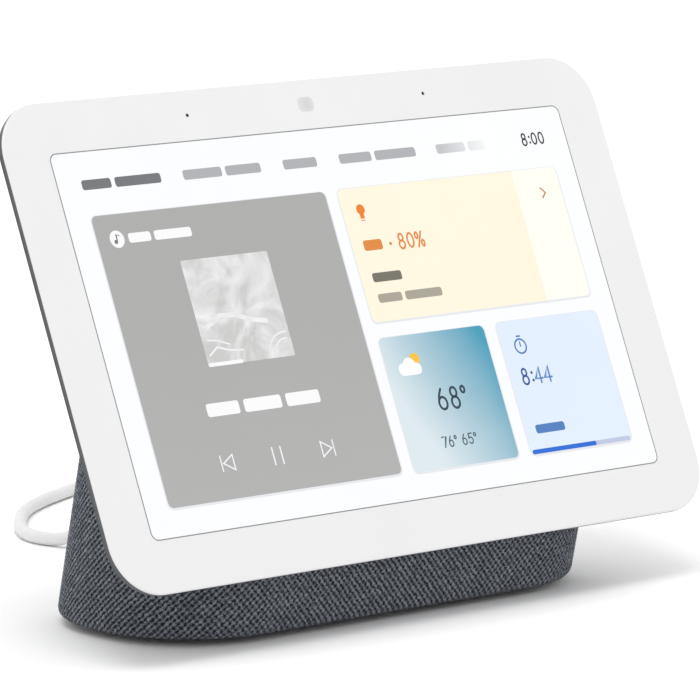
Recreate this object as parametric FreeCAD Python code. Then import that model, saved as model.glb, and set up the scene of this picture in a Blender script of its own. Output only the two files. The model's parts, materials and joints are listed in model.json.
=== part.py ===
"""Smart display: a touch panel on a fabric-covered speaker base, with its power lead and wall adapter.

Millimetres. +X is to the right seen from the front, +Y is to the rear and +Z is up. The object stands
on z = 0, and the origin is the middle of the bottom of its box, without the lead.

The panel, called the head, leans back. It is drawn in a frame of its own: X across, Y up the slope
from its bottom edge, Z out of the front of the glass, so that everything behind the glass has a
negative Z. The speaker is drawn about its own axis, with Z out of the base's rear wall.
"""
import FreeCAD, Part
import math
import os

from FreeCAD import Placement, Rotation, Vector

# ---- head: driving dimensions
HEAD_WIDTH = 177.4
HEAD_HEIGHT = 111.93          # up the slope
HEAD_TILT = 23.5686           # from the vertical, top to the rear
HEAD_Y = -34.65               # bottom front edge of the glass
HEAD_Z = 16.904
HEAD_CORNER = 12.0
HEAD_DEPTH = 11.0
GLASS = 1.1
HOUSING_INSET = 0.25          # housing rim behind the glass edge
HOUSING_WALL = 1.4
LIP = 0.9                     # straight rim before the back starts to curve in
CURVE_IN = 18.0               # how far the back curves in
CURVE_INSETS = (0.0, 4.2, 8.5, CURVE_IN)
CURVE_DEPTHS = (0.0, 0.578, 1.0, 1.0)     # as shares of the back's whole depth
CORNER_SHRINK = 0.45          # how much the corner radius follows the inset

# ---- display stack, depths behind the front of the glass
TOUCH_BACK = 1.3
LCD_BACK = 2.3
BACKLIGHT_BACK = 4.1
TRAY_FLOOR = 4.5
TRAY_BACK = 5.2
TRAY_STEP = 2.0               # depth where the tray gets narrower
BOARD_FRONT = 6.4
BOARD_BACK = 7.4
LCD_HALF = 78.4
LCD_LOW = 9.4
LCD_HIGH = 102.6
WINDOW_GAP = 0.8              # tray window around the cell
SENSOR_UP = 106.0             # microphones and light sensor, up the slope
MIC_ACROSS = (-35.2, 35.6)
GLASS_EDGE = 0.4
MIC_HOLE = 0.45
ADHESIVE_BACK = 1.35
TRAY_INSET = 2.0
TRAY_STEP_INSET = 5.4
TRAY_STEP_CORNER = 12.0
TOUCH_BORDER = 0.6            # touch film past the cell
LIGHT_BORDER = 0.4            # cell past the backlight
LIGHT_LOW = 2.0               # room for the display's cable under the backlight
DISPLAY_CORNER = 0.8
POCKET_UP = (103.9, 108.2)    # pockets for the small boards behind the top border
MIC_POCKET = 4.6
SENSOR_POCKET = 8.4
SMALL_BOARD_UP = (104.1, 107.9)
SMALL_BOARD_FRONT = 2.1
SMALL_BOARD_BACK = 2.8
MIC_BOARD_HALF = 4.0
SENSOR_BOARD_HALF = 8.0
BOOT = 1.7

# ---- main board and what it carries, depths behind the front of the glass
MAIN_BOARD = (-46, 46, 45, 97)
CANS = ((-34, -6, 56, 80), (4, 32, 58, 78))
CAN_BACK = 8.7
CAN_WALL = 0.3
SPREADER_BACK = 9.5
BOARD_POSTS_R = 2.6
FLEX_HALF = 11.0
FLEX = 0.15                   # thickness of the display's cable
RIBBON_HALF = 7.0
RIBBON = 0.2

# ---- fasteners
SCREW = 0.9                   # radius of the small screws
SCREW_HEAD = 1.8
SCREW_ROOM = 1.0              # hole in a board
BIG_SCREW = 1.2               # radius of the screws of the base and neck
BIG_ROOM = 1.4
HEAD_ROUND = 0.3              # rounding of a screw head

# ---- base: driving dimensions
BASE_HALF = 66.84
BASE_FRONT = -25.55           # at BASE_REF
BASE_REAR = 34.85
BASE_REF = 1.94
BASE_LEAN = 0.232             # forward, for each mm of height
FRONT_CORNER = 26.5
REAR_CORNER = 29.25
FABRIC_BOTTOM = 1.7
FABRIC = 1.0
HEM_ROUND = 2.0               # fabric turning under the bottom edge
SHELL_WALL = 2.2
BASE_TOP = 90.0
BEND_START = 60.0             # the rear starts to close towards the head here
BEND_SPAN = 32.0
REAR_BEND = 20.0
SIDE_BEND = 14.0
HEAD_GAP = 0.3                # between the head's back and the base
HEM_EDGE = 7.0                # fabric hem under the base
FLANGE_EDGE = 16.4            # inner edge of the shell's bottom flange
FOOT_EDGE = 10.5
FOOT = 1.2
PLATE_LOW = FOOT
SHELL_LOW = FABRIC_BOTTOM + FABRIC
SHELL_FLOOR = SHELL_LOW + 2.0

# ---- speaker
SPEAKER_UP = 38.6
SHELL_IN = FABRIC + SHELL_WALL
LEAN_ANGLE = math.degrees(math.atan(BASE_LEAN))
SPEAKER_SEAT = SHELL_IN * math.cos(math.radians(LEAN_ANGLE)) + 0.03
GASKET = 0.8
GASKET_OUTER = 21.0

# ---- lead
CORD = 3.2
CORD_R = CORD / 2
TABLE_CORD = 1.65             # centre height of the cord on the table
JACK_Z = 11.7
PLUG_START = 33.4
PLUG_END = 48.0
RELIEF_END = 63.0
COIL_CENTRE = (72.0, 97.0)
COIL_MIDDLE = 17.2
COIL_PITCH = 3.4
COIL_COLUMNS = 4
COIL_ROWS = 3
COIL_LOW = 0.5
COIL_HALF = COIL_COLUMNS * COIL_PITCH / 2 + 0.1
COIL_HIGH = COIL_LOW + COIL_ROWS * 3.3 + 0.1
ENTRY_ANGLE = 120.0           # where the cord joins the coil
EXIT_ANGLE = 138.0            # where the tail leaves it
ADAPTER_X = 45.5
ADAPTER_Y = (37.5, 75.5)
ADAPTER_HALF = 20.0
ADAPTER_HIGH = 26.0
ADAPTER_LID = 3.0
ADAPTER_WALL = 2.2
ADAPTER_CORD = 9.0            # height of the cord's way out of the adapter
TAIL_START = 88.5
BLADE_APART = 6.35            # each blade from the middle
BLADE_THICK = 1.5
BLADE_WIDE = 6.35
BLADE_OUT = 17.0

FIT = 0.02                    # clearance of a screw or insert in its hole

HEAD = Placement(Vector(0, HEAD_Y, HEAD_Z), Rotation(Vector(1, 0, 0), 90 - HEAD_TILT))
nodes = {}


# ---------------------------------------------------------------- shared shapes
def box(x0, x1, y0, y1, z0, z1):
    return Part.makeBox(x1 - x0, y1 - y0, z1 - z0, Vector(x0, y0, z0))


def rod(x, y, z0, z1, r):
    return Part.makeCylinder(r, z1 - z0, Vector(x, y, z0))


def rounded_outline(x0, x1, y0, y1, z, low_r, high_r):
    """Closed rounded rectangle; low_r rounds the corners at y0 and high_r those at y1."""
    def corner(x, y, r, start):
        turn = [math.radians(start + a) for a in (0, 45, 90)]
        return Part.Arc(*[Vector(x + r * math.cos(a), y + r * math.sin(a), z) for a in turn]).toShape()

    corners = [
        corner(x1 - low_r, y0 + low_r, low_r, -90),
        corner(x1 - high_r, y1 - high_r, high_r, 0),
        corner(x0 + high_r, y1 - high_r, high_r, 90),
        corner(x0 + low_r, y0 + low_r, low_r, 180),
    ]
    edges = []
    for this, after in zip(corners, corners[1:] + corners[:1]):
        start, end = this.valueAt(this.LastParameter), after.valueAt(after.FirstParameter)
        edges += [this, Part.LineSegment(start, end).toShape()]
    return Part.Wire(edges)


def plate(x0, x1, y0, y1, z0, z1, r):
    outline = rounded_outline(x0, x1, y0, y1, z0, r, r)
    return Part.Face(outline).extrude(Vector(0, 0, z1 - z0))


def turned(points):
    """Solid of revolution about Z from a closed outline of (radius, height) points."""
    outline = Part.makePolygon([Vector(r, 0, z) for r, z in points + points[:1]])
    return Part.Face(outline).revolve(Vector(0, 0, 0), Vector(0, 0, 1), 360)


def strip(path, thick, x0, x1):
    """Flat cable of even thickness along a path of (y, z) points, spanning x0 to x1."""
    sides = ([], [])
    for i, (y, z) in enumerate(path):
        before, after = path[max(i - 1, 0)], path[min(i + 1, len(path) - 1)]
        a = math.atan2(z - before[1], y - before[0]) if i else None
        b = math.atan2(after[1] - z, after[0] - y) if i < len(path) - 1 else a
        a = b if a is None else a
        reach = thick / 2 / math.cos((b - a) / 2)
        normal = (a + b) / 2 + math.pi / 2
        for side, way in zip(sides, (1, -1)):
            side.append(Vector(x0, y + way * reach * math.cos(normal), z + way * reach * math.sin(normal)))
    outline = sides[0] + sides[1][::-1]
    return Part.Face(Part.makePolygon(outline + outline[:1])).extrude(Vector(x1 - x0, 0, 0))


def fillet(solid, radius, pick):
    """The solid with the edges that pick() accepts rounded."""
    return solid.makeFillet(radius, [e for e in solid.Edges if pick(e)])


def level(z):
    """Picks the edges that lie in the plane at height z."""
    return lambda e: abs(e.BoundBox.ZMin - z) < 1e-3 and abs(e.BoundBox.ZMax - z) < 1e-3


def placed(shape, place):
    moved = shape.copy()
    moved.Placement = place.multiply(moved.Placement)
    return moved


def keep(name, *solids, place=Placement()):
    """Writes one node from its solids, moved from their own frame to the object's."""
    moved = [placed(s, place) for s in solids]
    shape = moved[0] if len(moved) == 1 else Part.makeCompound(moved)
    nodes[name] = shape
    shape.exportStep(f"parts/{name}.step")


def head_point(up, depth):
    """(y, z) of a point of the head, up the slope and behind the glass."""
    point = HEAD.multVec(Vector(0, up, -depth))
    return point.y, point.z


# ---------------------------------------------------------------- head
def head_plate(inset, front, back, corner=None):
    """Plate of the head's outline, between two depths behind the front of the glass."""
    half = HEAD_WIDTH / 2 - inset
    r = HEAD_CORNER - inset if corner is None else corner
    return plate(-half, half, inset, HEAD_HEIGHT - inset, -back, -front, r)


def cubic(ends, t):
    """Point of the smooth curve with these four controls."""
    a, b, c, d = ends
    s = 1 - t
    return a * s ** 3 + 3 * b * s * s * t + 3 * c * s * t * t + d * t ** 3


def cubic_slope(ends, t):
    a, b, c, d = ends
    s = 1 - t
    return 3 * (b - a) * s * s + 6 * (c - b) * s * t + 3 * (d - c) * t * t


def housing_form(inset, depth, front):
    """The head's form behind the glass: a thin straight rim, then sides that slope in to a flat back."""
    rim = GLASS + LIP
    outlines = []
    for step in range(11):
        pull = cubic(CURVE_INSETS, step / 10)
        low, high = inset + pull, HEAD_HEIGHT - inset - pull
        half = HEAD_WIDTH / 2 - low
        r = HEAD_CORNER - inset - CORNER_SHRINK * pull
        z = -rim - (depth - rim) * cubic(CURVE_DEPTHS, step / 10)
        outlines.append(rounded_outline(-half, half, low, high, z, r, r))
    return Part.makeLoft(outlines, True, False).fuse(head_plate(inset, front, rim))


def window(grow, front, back):
    half = LCD_HALF + grow
    return plate(-half, half, LCD_LOW - grow, LCD_HIGH + grow, -back, -front, 2.0)


def sensor_pockets(front, back):
    """Room behind the top border of the glass for the microphones and the light sensor."""
    pockets = [box(u - MIC_POCKET, u + MIC_POCKET, *POCKET_UP, -back, -front) for u in MIC_ACROSS]
    pockets.append(box(-SENSOR_POCKET, SENSOR_POCKET, *POCKET_UP, -back, -front))
    return pockets


def make_glass():
    glass = fillet(head_plate(0, 0, GLASS), GLASS_EDGE, level(0))
    for u in MIC_ACROSS:
        glass = glass.cut(rod(u, SENSOR_UP, -GLASS - 1, 1, MIC_HOLE))
    keep("cover_glass", glass, place=HEAD)
    adhesive = head_plate(TRAY_INSET, GLASS, ADHESIVE_BACK).cut(window(WINDOW_GAP + 0.1, 1, 2))
    for pocket in sensor_pockets(1, 2):
        adhesive = adhesive.cut(pocket)
    keep("panel_adhesive", adhesive, place=HEAD)


def make_display():
    half, low, high = LCD_HALF + TOUCH_BORDER, LCD_LOW - TOUCH_BORDER, LCD_HIGH + TOUCH_BORDER
    keep("touch_sensor", plate(-half, half, low, high, -TOUCH_BACK, -GLASS, 1), place=HEAD)
    cell = plate(-LCD_HALF, LCD_HALF, LCD_LOW, LCD_HIGH, -LCD_BACK, -TOUCH_BACK, DISPLAY_CORNER)
    keep("lcd_cell", cell, place=HEAD)
    half, low, high = LCD_HALF - LIGHT_BORDER, LCD_LOW + LIGHT_LOW, LCD_HIGH - LIGHT_BORDER
    light = plate(-half, half, low, high, -BACKLIGHT_BACK, -LCD_BACK, DISPLAY_CORNER)
    keep("backlight_unit", light, place=HEAD)


BOARD_SCREWS = [(u, v) for u in (-42, 42) for v in (49, 93)]
ROCKER_ALONG = 0.75           # the rocker's place on the back's curve, from rim to flat
ROCKER_UP = 68.0
ROCKER_HALF = 11.0
ROCKER_WIDE = 4.0
ROCKER_TOP = 0.8              # how far the cap stands out of the housing
ROCKER_UNDER = 1.9
ROCKER_PIN = 2.6              # pin axis below the housing's surface
PIN = 0.6
BRACKET_HALF = 3.3
LUG_HALF = 1.8
ROCKER_BOARD = 4.4
BUTTON_BOARD = 0.6
SWITCHES = (-8, 8)
SWITCH_HALF = 1.6


def rocker_frame():
    """Frame on the curved back: Z out of the surface, Y up the slope."""
    drop = HEAD_DEPTH - GLASS - LIP
    fall = drop * cubic_slope(CURVE_DEPTHS, ROCKER_ALONG) / cubic_slope(CURVE_INSETS, ROCKER_ALONG)
    u = HEAD_WIDTH / 2 - HOUSING_INSET - cubic(CURVE_INSETS, ROCKER_ALONG)
    w = -(GLASS + LIP) - drop * cubic(CURVE_DEPTHS, ROCKER_ALONG)
    tilt = math.degrees(math.atan(fall))
    return HEAD.multiply(Placement(Vector(u, ROCKER_UP, w), Rotation(Vector(0, 1, 0), 180 - tilt)))


ROCKER = rocker_frame()


def in_head(shape, place):
    """A shape drawn in another frame, in the head's frame."""
    return placed(shape, HEAD.inverse().multiply(place))


def make_tray():
    """Moulded frame that carries the glass, the display and the main board."""
    tray = head_plate(TRAY_INSET, ADHESIVE_BACK, TRAY_STEP)
    tray = tray.fuse(head_plate(TRAY_STEP_INSET, TRAY_STEP, TRAY_BACK, TRAY_STEP_CORNER))
    tray = tray.cut(window(WINDOW_GAP, 1, TRAY_FLOOR))
    tray = tray.cut(box(-FLEX_HALF - 2, FLEX_HALF + 2, 28, 34, -6, -4))
    for pocket in sensor_pockets(1, SMALL_BOARD_BACK + 0.1):
        tray = tray.cut(pocket)
    for u, v in BOARD_SCREWS:
        tray = tray.fuse(rod(u, v, -BOARD_FRONT, -TRAY_BACK, BOARD_POSTS_R))
        tray = tray.cut(rod(u, v, -7, -4.8, SCREW + FIT))
    room = box(-4.3, 4.3, -14, 14, -ROCKER_BOARD - BUTTON_BOARD, 0)
    keep("mid_frame", tray.cut(in_head(room, ROCKER)).removeSplitter(), place=HEAD)


def small_board(u, half):
    return plate(u - half, u + half, *SMALL_BOARD_UP, -SMALL_BOARD_BACK, -SMALL_BOARD_FRONT, 0.5)


def make_sensors():
    boards, boots = [], []
    for u in MIC_ACROSS:
        boards.append(small_board(u, MIC_BOARD_HALF).cut(rod(u, SENSOR_UP, -3, -2, 0.3)))
        boots.append(rod(u, SENSOR_UP, -SMALL_BOARD_FRONT, -GLASS, BOOT).cut(rod(u, SENSOR_UP, -3, -1, 0.5)))
    keep("mic_boards", *boards, place=HEAD)
    keep("mic_boots", *boots, place=HEAD)
    keep("sensor_window", plate(-2.25, 2.25, SENSOR_UP - 1.3, SENSOR_UP + 1.3, -2.0, -GLASS, 1.0), place=HEAD)
    chip = box(-1.2, 1.2, SENSOR_UP - 0.9, SENSOR_UP + 0.9, -2.15, -2.0)
    keep("sensor_board", small_board(0, SENSOR_BOARD_HALF).fuse(chip), place=HEAD)


def make_main_board():
    board = plate(*MAIN_BOARD, -BOARD_BACK, -BOARD_FRONT, 2)
    screws = []
    top = -BOARD_BACK - 1
    for u, v in BOARD_SCREWS:
        board = board.cut(rod(u, v, -8, -6, SCREW_ROOM))
        head = fillet(rod(u, v, top, -BOARD_BACK, SCREW_HEAD), HEAD_ROUND, level(top))
        screw = head.fuse(rod(u, v, -BOARD_BACK, -4.9, SCREW))
        screws.append(screw.cut(rod(u, v, top - 0.1, top + 0.5, 0.6)))
    keep("main_board", board, place=HEAD)
    keep("board_screws", *screws, place=HEAD)
    cans = []
    for u0, u1, v0, v1 in CANS:
        can = fillet(box(u0, u1, v0, v1, -CAN_BACK, -BOARD_BACK), 0.5, level(-CAN_BACK))
        wall = CAN_WALL
        cans.append(can.cut(box(u0 + wall, u1 - wall, v0 + wall, v1 - wall, wall - CAN_BACK, -7)))
    keep("shield_cans", *cans, place=HEAD)
    keep("heat_spreader", plate(-38, 38, 53, 82, -SPREADER_BACK, -CAN_BACK, 3), place=HEAD)
    front_socket = box(-12, 12, 62, 66, -BOARD_FRONT, -5.4)
    rear_socket = box(-8, 8, 46.5, 50.5, -8.6, -BOARD_BACK)
    keep("board_connectors", front_socket, rear_socket, place=HEAD)
    antennas = [plate(u, u + 26, 97, 103, -5.8, -TRAY_BACK, 1) for u in (-76, 50)]
    keep("antennas", *antennas, place=HEAD)
    keep("mute_switch", plate(-5, 5, 84.7, 90.3, -8.3, -BOARD_BACK, 0.5), place=HEAD)


def make_cables():
    """Flat cables: display to main board, and main board down into the base."""
    to_display = [(11.3, 2.375), (9.975, 2.375), (9.975, 4.275), (31, 4.275), (31, 5.675), (62, 5.675)]
    path = [head_point(up, depth) for up, depth in to_display]
    keep("display_flex", strip(path, FLEX, -FLEX_HALF, FLEX_HALF))
    path = [head_point(46.5, 8.0), head_point(31, 8.0), head_point(31, 16.2), (-6.0, 22.0), (-6.0, 9.2)]
    keep("base_cable", strip(path, RIBBON, -RIBBON_HALF, RIBBON_HALF))


NECK_SCREWS = [(u, v) for u in (-30, 30) for v in (24, 38)]
CABLE_SLOT = (-8.5, 8.5, 29.0, 33.0)
NECK = (-38, 38, 19, 44)
SLIDER_UP = 87.5
SLIDER_TRAVEL = 2.5
SLIDER_SLOT = (4.1, 1.75)     # half length and half width
KNOB = (2.6, 1.5)
KNOB_TOP = 11.5


def make_housing():
    housing = housing_form(HOUSING_INSET, HEAD_DEPTH, GLASS)
    inside = housing_form(HOUSING_INSET + HOUSING_WALL, HEAD_DEPTH - HOUSING_WALL, GLASS - 0.5)
    housing = housing.cut(inside)
    for u, v in NECK_SCREWS:
        housing = housing.fuse(rod(u, v, -10, -5.4, 3.0)).cut(rod(u, v, -12, -6, BIG_SCREW + FIT))
    housing = housing.cut(box(*CABLE_SLOT, -12, -9))
    long, wide = SLIDER_SLOT
    housing = housing.cut(plate(-long, long, SLIDER_UP - wide, SLIDER_UP + wide, -12, -9, wide - 0.05))
    slot = ROCKER_WIDE / 2 + 0.25
    cutter = plate(-slot, slot, -ROCKER_HALF - 0.25, ROCKER_HALF + 0.25, -3, 2, slot - 0.01)
    keep("rear_housing", housing.cut(in_head(cutter, ROCKER)), place=HEAD)


def make_mute_slider():
    """Slide knob, drawn at the left end of its travel."""
    u = -SLIDER_TRAVEL / 2
    long, wide = KNOB
    knob = plate(u - long, u + long, SLIDER_UP - wide, SLIDER_UP + wide, -KNOB_TOP, -9.4, wide - 0.05)
    knob = fillet(knob, 0.3, level(-KNOB_TOP))
    for k in (-1.2, 0, 1.2):
        knob = knob.cut(box(u + k - 0.2, u + k + 0.2, SLIDER_UP - 1, SLIDER_UP + 1, -12, -11.3))
    flange = plate(u - 6, u + 6, SLIDER_UP - 3.4, SLIDER_UP + 3.4, -9.5, -8.9, 1)
    stem = box(u - 0.6, u + 0.6, SLIDER_UP - 0.6, SLIDER_UP + 0.6, -8.95, -8.35)
    keep("mute_slider", knob.fuse(flange).fuse(stem), place=HEAD)


def cross_pin(r, half):
    return Part.makeCylinder(r, 2 * half, Vector(-half, 0, -ROCKER_PIN), Vector(1, 0, 0))


def make_rocker():
    """Volume rocker on a cross pin, over two push switches."""
    half = ROCKER_WIDE / 2
    cap = plate(-half, half, -ROCKER_HALF, ROCKER_HALF, -ROCKER_UNDER, ROCKER_TOP, half - 0.01)
    cap = fillet(cap, 0.5, level(ROCKER_TOP))
    lug = box(-1.5, 1.5, -LUG_HALF, LUG_HALF, -3.5, 0.1 - ROCKER_UNDER)
    feet = [box(-1, 1, y - 1, y + 1, -2.45, 0.1 - ROCKER_UNDER) for y in SWITCHES]
    rocker = cap.fuse([lug] + feet)
    keep("volume_rocker", rocker.cut(cross_pin(PIN + 0.04, 5)), place=ROCKER)
    keep("rocker_pin", cross_pin(PIN, BRACKET_HALF), place=ROCKER)
    bracket = box(-BRACKET_HALF, BRACKET_HALF, -LUG_HALF, LUG_HALF, -ROCKER_BOARD, -ROCKER_UNDER)
    bracket = bracket.cut(box(-2.1, 2.1, -5, 5, -3.9, 0))
    keep("rocker_bracket", bracket.cut(cross_pin(PIN + FIT, 5)), place=ROCKER)
    board = plate(-3.6, 3.6, -13, 13, -ROCKER_BOARD - BUTTON_BOARD, -ROCKER_BOARD, 0.6)
    keep("button_board", board, place=ROCKER)
    switches = []
    for y in SWITCHES:
        body = box(-SWITCH_HALF, SWITCH_HALF, y - SWITCH_HALF, y + SWITCH_HALF, -ROCKER_BOARD, -3.4)
        switches.append(body.fuse(rod(0, y, -3.45, -2.85, 0.8)))
    keep("tact_switches", *switches, place=ROCKER)


# ---------------------------------------------------------------- base
def base_outline(inset, z):
    """Section of the base at height z. Every section slides forward as it goes up, and near the top
    the rear and the sides close in towards the head."""
    t = max(0.0, (z - BEND_START) / BEND_SPAN)
    close = 1 - math.sqrt(1 - t * t)
    slide = BASE_LEAN * (z - BASE_REF)
    half = BASE_HALF - inset - SIDE_BEND * close
    front, rear = BASE_FRONT - slide + inset, BASE_REAR - slide - inset - REAR_BEND * close
    return rounded_outline(-half, half, front, rear, z, FRONT_CORNER - inset, REAR_CORNER - inset)


def base_form(inset, low):
    levels = [low, 14, 28, 42, 52, 60, 67, 74, 80, 85, BASE_TOP]
    return Part.makeLoft([base_outline(inset, z) for z in levels], True, False)


def base_slab(inset, low, high):
    """Upright plate of the base's bottom outline."""
    outline = rounded_outline(
        inset - BASE_HALF, BASE_HALF - inset, BASE_FRONT + inset, BASE_REAR - inset, low,
        FRONT_CORNER - inset, REAR_CORNER - inset)
    return Part.Face(outline).extrude(Vector(0, 0, high - low))


def head_room(gap):
    """All the space in front of the head's back, with a gap behind it."""
    rim = GLASS + LIP
    drop = HEAD_DEPTH - rim + gap
    edge = HOUSING_INSET - gap

    def side(t):
        return Vector(-100, edge + cubic(CURVE_INSETS, t), -rim - drop * cubic(CURVE_DEPTHS, t))

    far = [Vector(-100, edge + CURVE_IN, -rim - drop), Vector(-100, 150, -rim - drop),
           Vector(-100, 150, 60), Vector(-100, edge, 60), Vector(-100, edge, -rim)]
    curve = Part.BSplineCurve()
    curve.interpolate([side(step / 10) for step in range(11)])
    outline = [curve.toShape(), Part.makePolygon(far)]
    edges = [e for shape in outline for e in shape.Edges]
    face = Part.Face(Part.Wire(Part.__sortEdges__(edges)))
    return placed(face.extrude(Vector(200, 0, 0)), HEAD)


def speaker_place():
    y = BASE_REAR - BASE_LEAN * (SPEAKER_UP - BASE_REF)
    return Placement(Vector(0, y, SPEAKER_UP), Rotation(Vector(1, 0, 0), LEAN_ANGLE - 90))


SPEAKER = speaker_place()
EAR_RING = 23.6
EAR_ANGLES = [math.radians(45 + 90 * k) for k in range(4)]
EARS = [(EAR_RING * math.cos(a), EAR_RING * math.sin(a)) for a in EAR_ANGLES]
BASE_SCREWS = [(x, y) for x in (-34, 34) for y in (BASE_FRONT + 13, BASE_REAR - 13)]
BOARD_POSTS = [(x, y) for x in (-20, 20) for y in (-4.5, 13)]
COUNTERBORE = 2.2             # height where the base screws' heads seat
POWER_LOW = 6.5               # underside of the power board
POWER_HIGH = 7.7
JACK_HOLE = 6.3               # radius of the hole for the jack's ring
JACK_NOSE = 4.2
GRILLE_HOLE = 1.3
GRILLE_PITCH = 4.5
GRILLE_RINGS = (1, 2, 3)


def jack_bore(r, y0, y1):
    return Part.makeCylinder(r, y1 - y0, Vector(0, y0, JACK_Z), Vector(0, 1, 0))


def hem_round():
    """The base's form where its bottom edge rounds under."""
    outlines = []
    for angle in range(90, -1, -15):
        a = math.radians(angle)
        z = FABRIC_BOTTOM + HEM_ROUND * (1 - math.sin(a))
        outlines.append(base_outline(HEM_ROUND * (1 - math.cos(a)), z))
    return Part.makeLoft(outlines, True, False)


def make_fabric(room):
    outer = base_form(0, FABRIC_BOTTOM + HEM_ROUND).fuse(hem_round()).cut(room)
    sleeve = outer.cut(base_form(FABRIC, SHELL_LOW).cut(room))
    sleeve = sleeve.cut(base_slab(HEM_EDGE, 0, SHELL_LOW + 1))
    keep("fabric_sleeve", sleeve.cut(jack_bore(JACK_HOLE, 20, 40)))


def grille_holes():
    """Rings of holes in front of the speaker."""
    holes = [rod(0, 0, -5, 2, GRILLE_HOLE)]
    for ring in GRILLE_RINGS:
        reach = GRILLE_PITCH * ring
        for k in range(6 * ring):
            a = 2 * math.pi * k / (6 * ring)
            holes.append(rod(reach * math.cos(a), reach * math.sin(a), -5, 2, GRILLE_HOLE))
    return [placed(h, SPEAKER) for h in holes]


def make_shell(room):
    """Moulded shell under the fabric, open at the bottom."""
    shell = base_form(FABRIC, SHELL_LOW).cut(room)
    shell = shell.cut(base_form(SHELL_IN, SHELL_FLOOR).cut(head_room(HEAD_GAP + SHELL_WALL)))
    shell = shell.cut(base_slab(FLANGE_EDGE, 0, SHELL_FLOOR + 1))
    for x, y in BASE_SCREWS:
        shell = shell.fuse(rod(x, y, SHELL_FLOOR - 0.5, 11, 2.8)).cut(rod(x, y, 2, 10.2, BIG_SCREW + FIT))
    for x, y in EARS:
        boss = rod(x, y, -SPEAKER_SEAT - GASKET, -1.6, 2.4)
        hole = rod(x, y, -6, -1.5, SCREW + FIT)
        shell = shell.fuse(placed(boss, SPEAKER)).cut(placed(hole, SPEAKER))
    seat = rod(0, 0, -SPEAKER_SEAT - GASKET, -SPEAKER_SEAT, GASKET_OUTER + FIT)
    shell = shell.cut(placed(seat, SPEAKER)).cut(Part.makeCompound(grille_holes()))
    for u, v in NECK_SCREWS:
        shell = shell.cut(placed(rod(u, v, -15, -10, BIG_ROOM), HEAD))
    shell = shell.cut(placed(box(*CABLE_SLOT, -15, -10), HEAD))
    keep("base_shell", shell.cut(jack_bore(JACK_HOLE, 20, 40)))


def make_bottom():
    plate_low = base_slab(HEM_EDGE + 0.4, PLATE_LOW, SHELL_LOW)
    plate_high = base_slab(FLANGE_EDGE + 0.1, SHELL_LOW, SHELL_FLOOR)
    bottom = plate_low.fuse(plate_high)
    screws = []
    for x, y in BASE_SCREWS:
        bottom = bottom.cut(rod(x, y, 0, COUNTERBORE, 2.5)).cut(rod(x, y, 0, 6, BIG_ROOM))
        head = fillet(rod(x, y, PLATE_LOW, COUNTERBORE, 2.2), HEAD_ROUND, level(PLATE_LOW))
        screws.append(head.fuse(rod(x, y, COUNTERBORE, 10, BIG_SCREW)))
    for x, y in BOARD_POSTS:
        bottom = bottom.fuse(rod(x, y, SHELL_FLOOR, POWER_LOW, 2.6)).cut(rod(x, y, 4.6, 7, SCREW + FIT))
    keep("base_plate", bottom)
    keep("base_screws", *screws)
    foot = fillet(base_slab(FOOT_EDGE, 0, FOOT), 0.5, level(0))
    keep("foot_pad", foot.cut(base_slab(FOOT_EDGE + 14, -1, 0.5)))


def capacitor(x, y):
    top = POWER_HIGH + 7
    return fillet(rod(x, y, POWER_HIGH, top, 3.15), 0.4, level(top))


def make_power_board():
    board = plate(-24, 24, -8.5, 27, POWER_LOW, POWER_HIGH, 1.5)
    top = POWER_HIGH + 1
    screws = []
    for x, y in BOARD_POSTS:
        board = board.cut(rod(x, y, 6, 8, SCREW_ROOM))
        head = fillet(rod(x, y, POWER_HIGH, top, SCREW_HEAD), HEAD_ROUND, level(top))
        screws.append(head.fuse(rod(x, y, 4.7, POWER_HIGH, SCREW)))
    keep("power_board", board)
    keep("power_board_screws", *screws)
    inductor = plate(8, 15, 2, 9, POWER_HIGH, POWER_HIGH + 4, 1)
    amplifier = plate(-6, 2, 4, 12, POWER_HIGH, POWER_HIGH + 1.2, 0.3)
    socket = box(-9, 9, -8, -4, POWER_HIGH, POWER_HIGH + 1.5)
    keep("power_components", capacitor(-13, 4), capacitor(-13, 12), inductor, amplifier, socket)
    jack = box(-4.5, 4.5, 16, 28.6, POWER_HIGH, POWER_HIGH + 8).fuse(jack_bore(JACK_NOSE, 28, 32.6))
    pocket = jack_bore(2.8, 22.8, 40).cut(jack_bore(1.0, 22, 32))
    keep("dc_jack", jack.cut(pocket))
    trim = jack_bore(JACK_HOLE - 0.05, 30.4, 33.3).cut(jack_bore(JACK_NOSE + 0.05, 20, 40))
    keep("jack_trim", fillet(trim, 0.4, lambda e: e.BoundBox.YMin > 33.29))


def make_neck(room_depth):
    """What joins the head to the base: foam, steel plate and four screws from inside the base."""
    low, high = -HEAD_DEPTH - HEAD_GAP, -HEAD_DEPTH
    under, top = -room_depth - 1.2, -room_depth - 2.6
    foam = plate(*NECK, low, high, 3)
    steel = plate(*NECK, under, -room_depth, 3)
    screws = []
    for u, v in NECK_SCREWS:
        foam = foam.cut(rod(u, v, -20, 0, BIG_ROOM))
        steel = steel.cut(rod(u, v, -20, 0, BIG_ROOM))
        head = fillet(rod(u, v, top, under, 2.4), HEAD_ROUND, level(top))
        screws.append(head.fuse(rod(u, v, under, -6.2, BIG_SCREW)))
    slot = box(*CABLE_SLOT, -20, 0)
    keep("neck_gasket", foam.cut(slot), place=HEAD)
    keep("neck_plate", steel.cut(slot), place=HEAD)
    keep("neck_screws", *screws, place=HEAD)


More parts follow.
